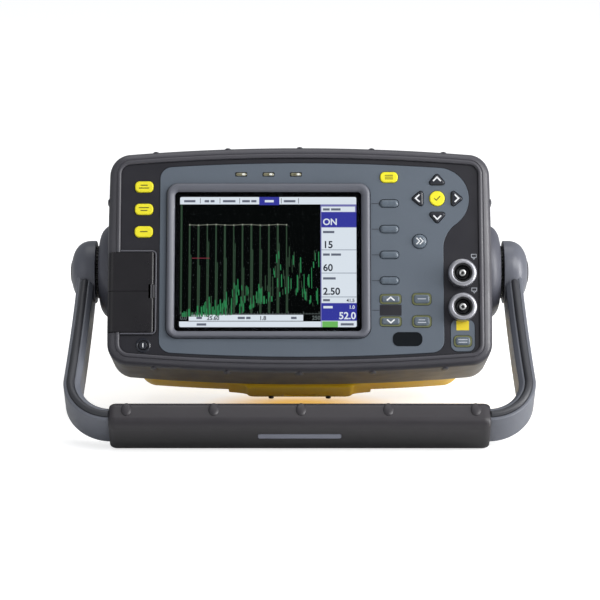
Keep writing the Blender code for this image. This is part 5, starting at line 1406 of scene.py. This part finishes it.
def painted_table_reflection(tree, place):
    """White, with a painted oval of yellow reflection where the battery door throws its light on the table.
    """
    low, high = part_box("battery_door")
    oval = tree.nodes.new("ShaderNodeMapping")
    oval.vector_type = "TEXTURE"
    oval.inputs["Location"].default_value = (0, (low.y + high.y) / 2, 0)
    oval.inputs["Scale"].default_value = (0.83 * (high.x - low.x), 0.9 * (high.y - low.y), 1)
    tree.links.new(place, oval.inputs["Vector"])
    length = tree.nodes.new("ShaderNodeVectorMath")
    length.operation = "LENGTH"
    tree.links.new(oval.outputs[0], length.inputs[0])
    # Painted reflection: strongest at the oval's middle, gone at its edge.
    reflection_mask = remap(tree, length.outputs["Value"], 1, 0, 0.3, 1.0)
    return mixed(tree, reflection_mask, (1, 1, 1, 1), (1.0, 0.56, 0.12, 1))


def make_world():
    world = bpy.data.worlds.new("studio")
    bpy.context.scene.world = world
    world.use_nodes = True
    tree = world.node_tree
    ambient = tree.nodes["Background"]
    ambient.inputs["Color"].default_value = (0.94, 0.97, 1.0, 1)
    ambient.inputs["Strength"].default_value = 0.32
    white = tree.nodes.new("ShaderNodeBackground")
    white.inputs["Strength"].default_value = 1.0
    shown = for_camera(tree, white.outputs[0], ambient.outputs[0])
    tree.links.new(shown, tree.nodes["World Output"].inputs["Surface"])


def soft_light(name, place, size, energy, target):
    data = bpy.data.lights.new(name, "AREA")
    data.shape = "RECTANGLE"
    data.size = size[0]
    data.size_y = size[1]
    data.energy = energy
    lamp = placed(name, data)
    lamp.location = place
    lamp.rotation_euler = (Vector(target) - Vector(place)).to_track_quat("-Z", "Y").to_euler()


def make_lights():
    target = (0, 0, 0.09)
    soft_light("key_light", (1.1, -0.9, 1.25), (1.0, 1.0), 19, target)
    soft_light("side_light", (1.4, -0.3, 0.4), (0.5, 0.9), 16, target)
    soft_light("fill_light", (-1.3, -1.1, 0.7), (1.2, 1.2), 2, target)
    soft_light("top_light", (0, 0.35, 1.6), (1.4, 1.0), 6, target)


def make_camera():
    """Fitted to the photo: a long lens that looks slightly down."""
    pitch = math.radians(13.6)
    distance = 1.6906
    focal = 2516.2  # in pixels of a picture 600 wide
    ahead = Vector((0, math.cos(pitch), -math.sin(pitch)))
    upward = Vector((0, math.sin(pitch), math.cos(pitch)))
    right = Vector((1, 0, 0))
    data = bpy.data.cameras.new("camera")
    data.sensor_width = 36
    data.lens = focal / 600 * 36
    data.clip_end = 20
    camera = placed("camera", data)
    matrix = Matrix((right, upward, -ahead)).transposed().to_4x4()
    pixel = distance / focal  # one pixel's width at the pivots
    matrix.translation = PIVOT - ahead * distance - upward * 28 * pixel + right * 0.3 * pixel
    camera.matrix_world = matrix
    bpy.context.scene.camera = camera


make_bumper()
make_face()
make_prints()
make_bezel()
make_window()
make_display()
make_lamps()
make_keys()
make_key_marks()
make_sockets()
make_doors()
make_rear_casing()
make_battery_door()
make_pivots()
make_strap()
make_beads()
make_grip()
dress_nodes()
make_floor()
make_world()
make_lights()
make_camera()
bpy.context.scene.view_settings.view_transform = "Standard"
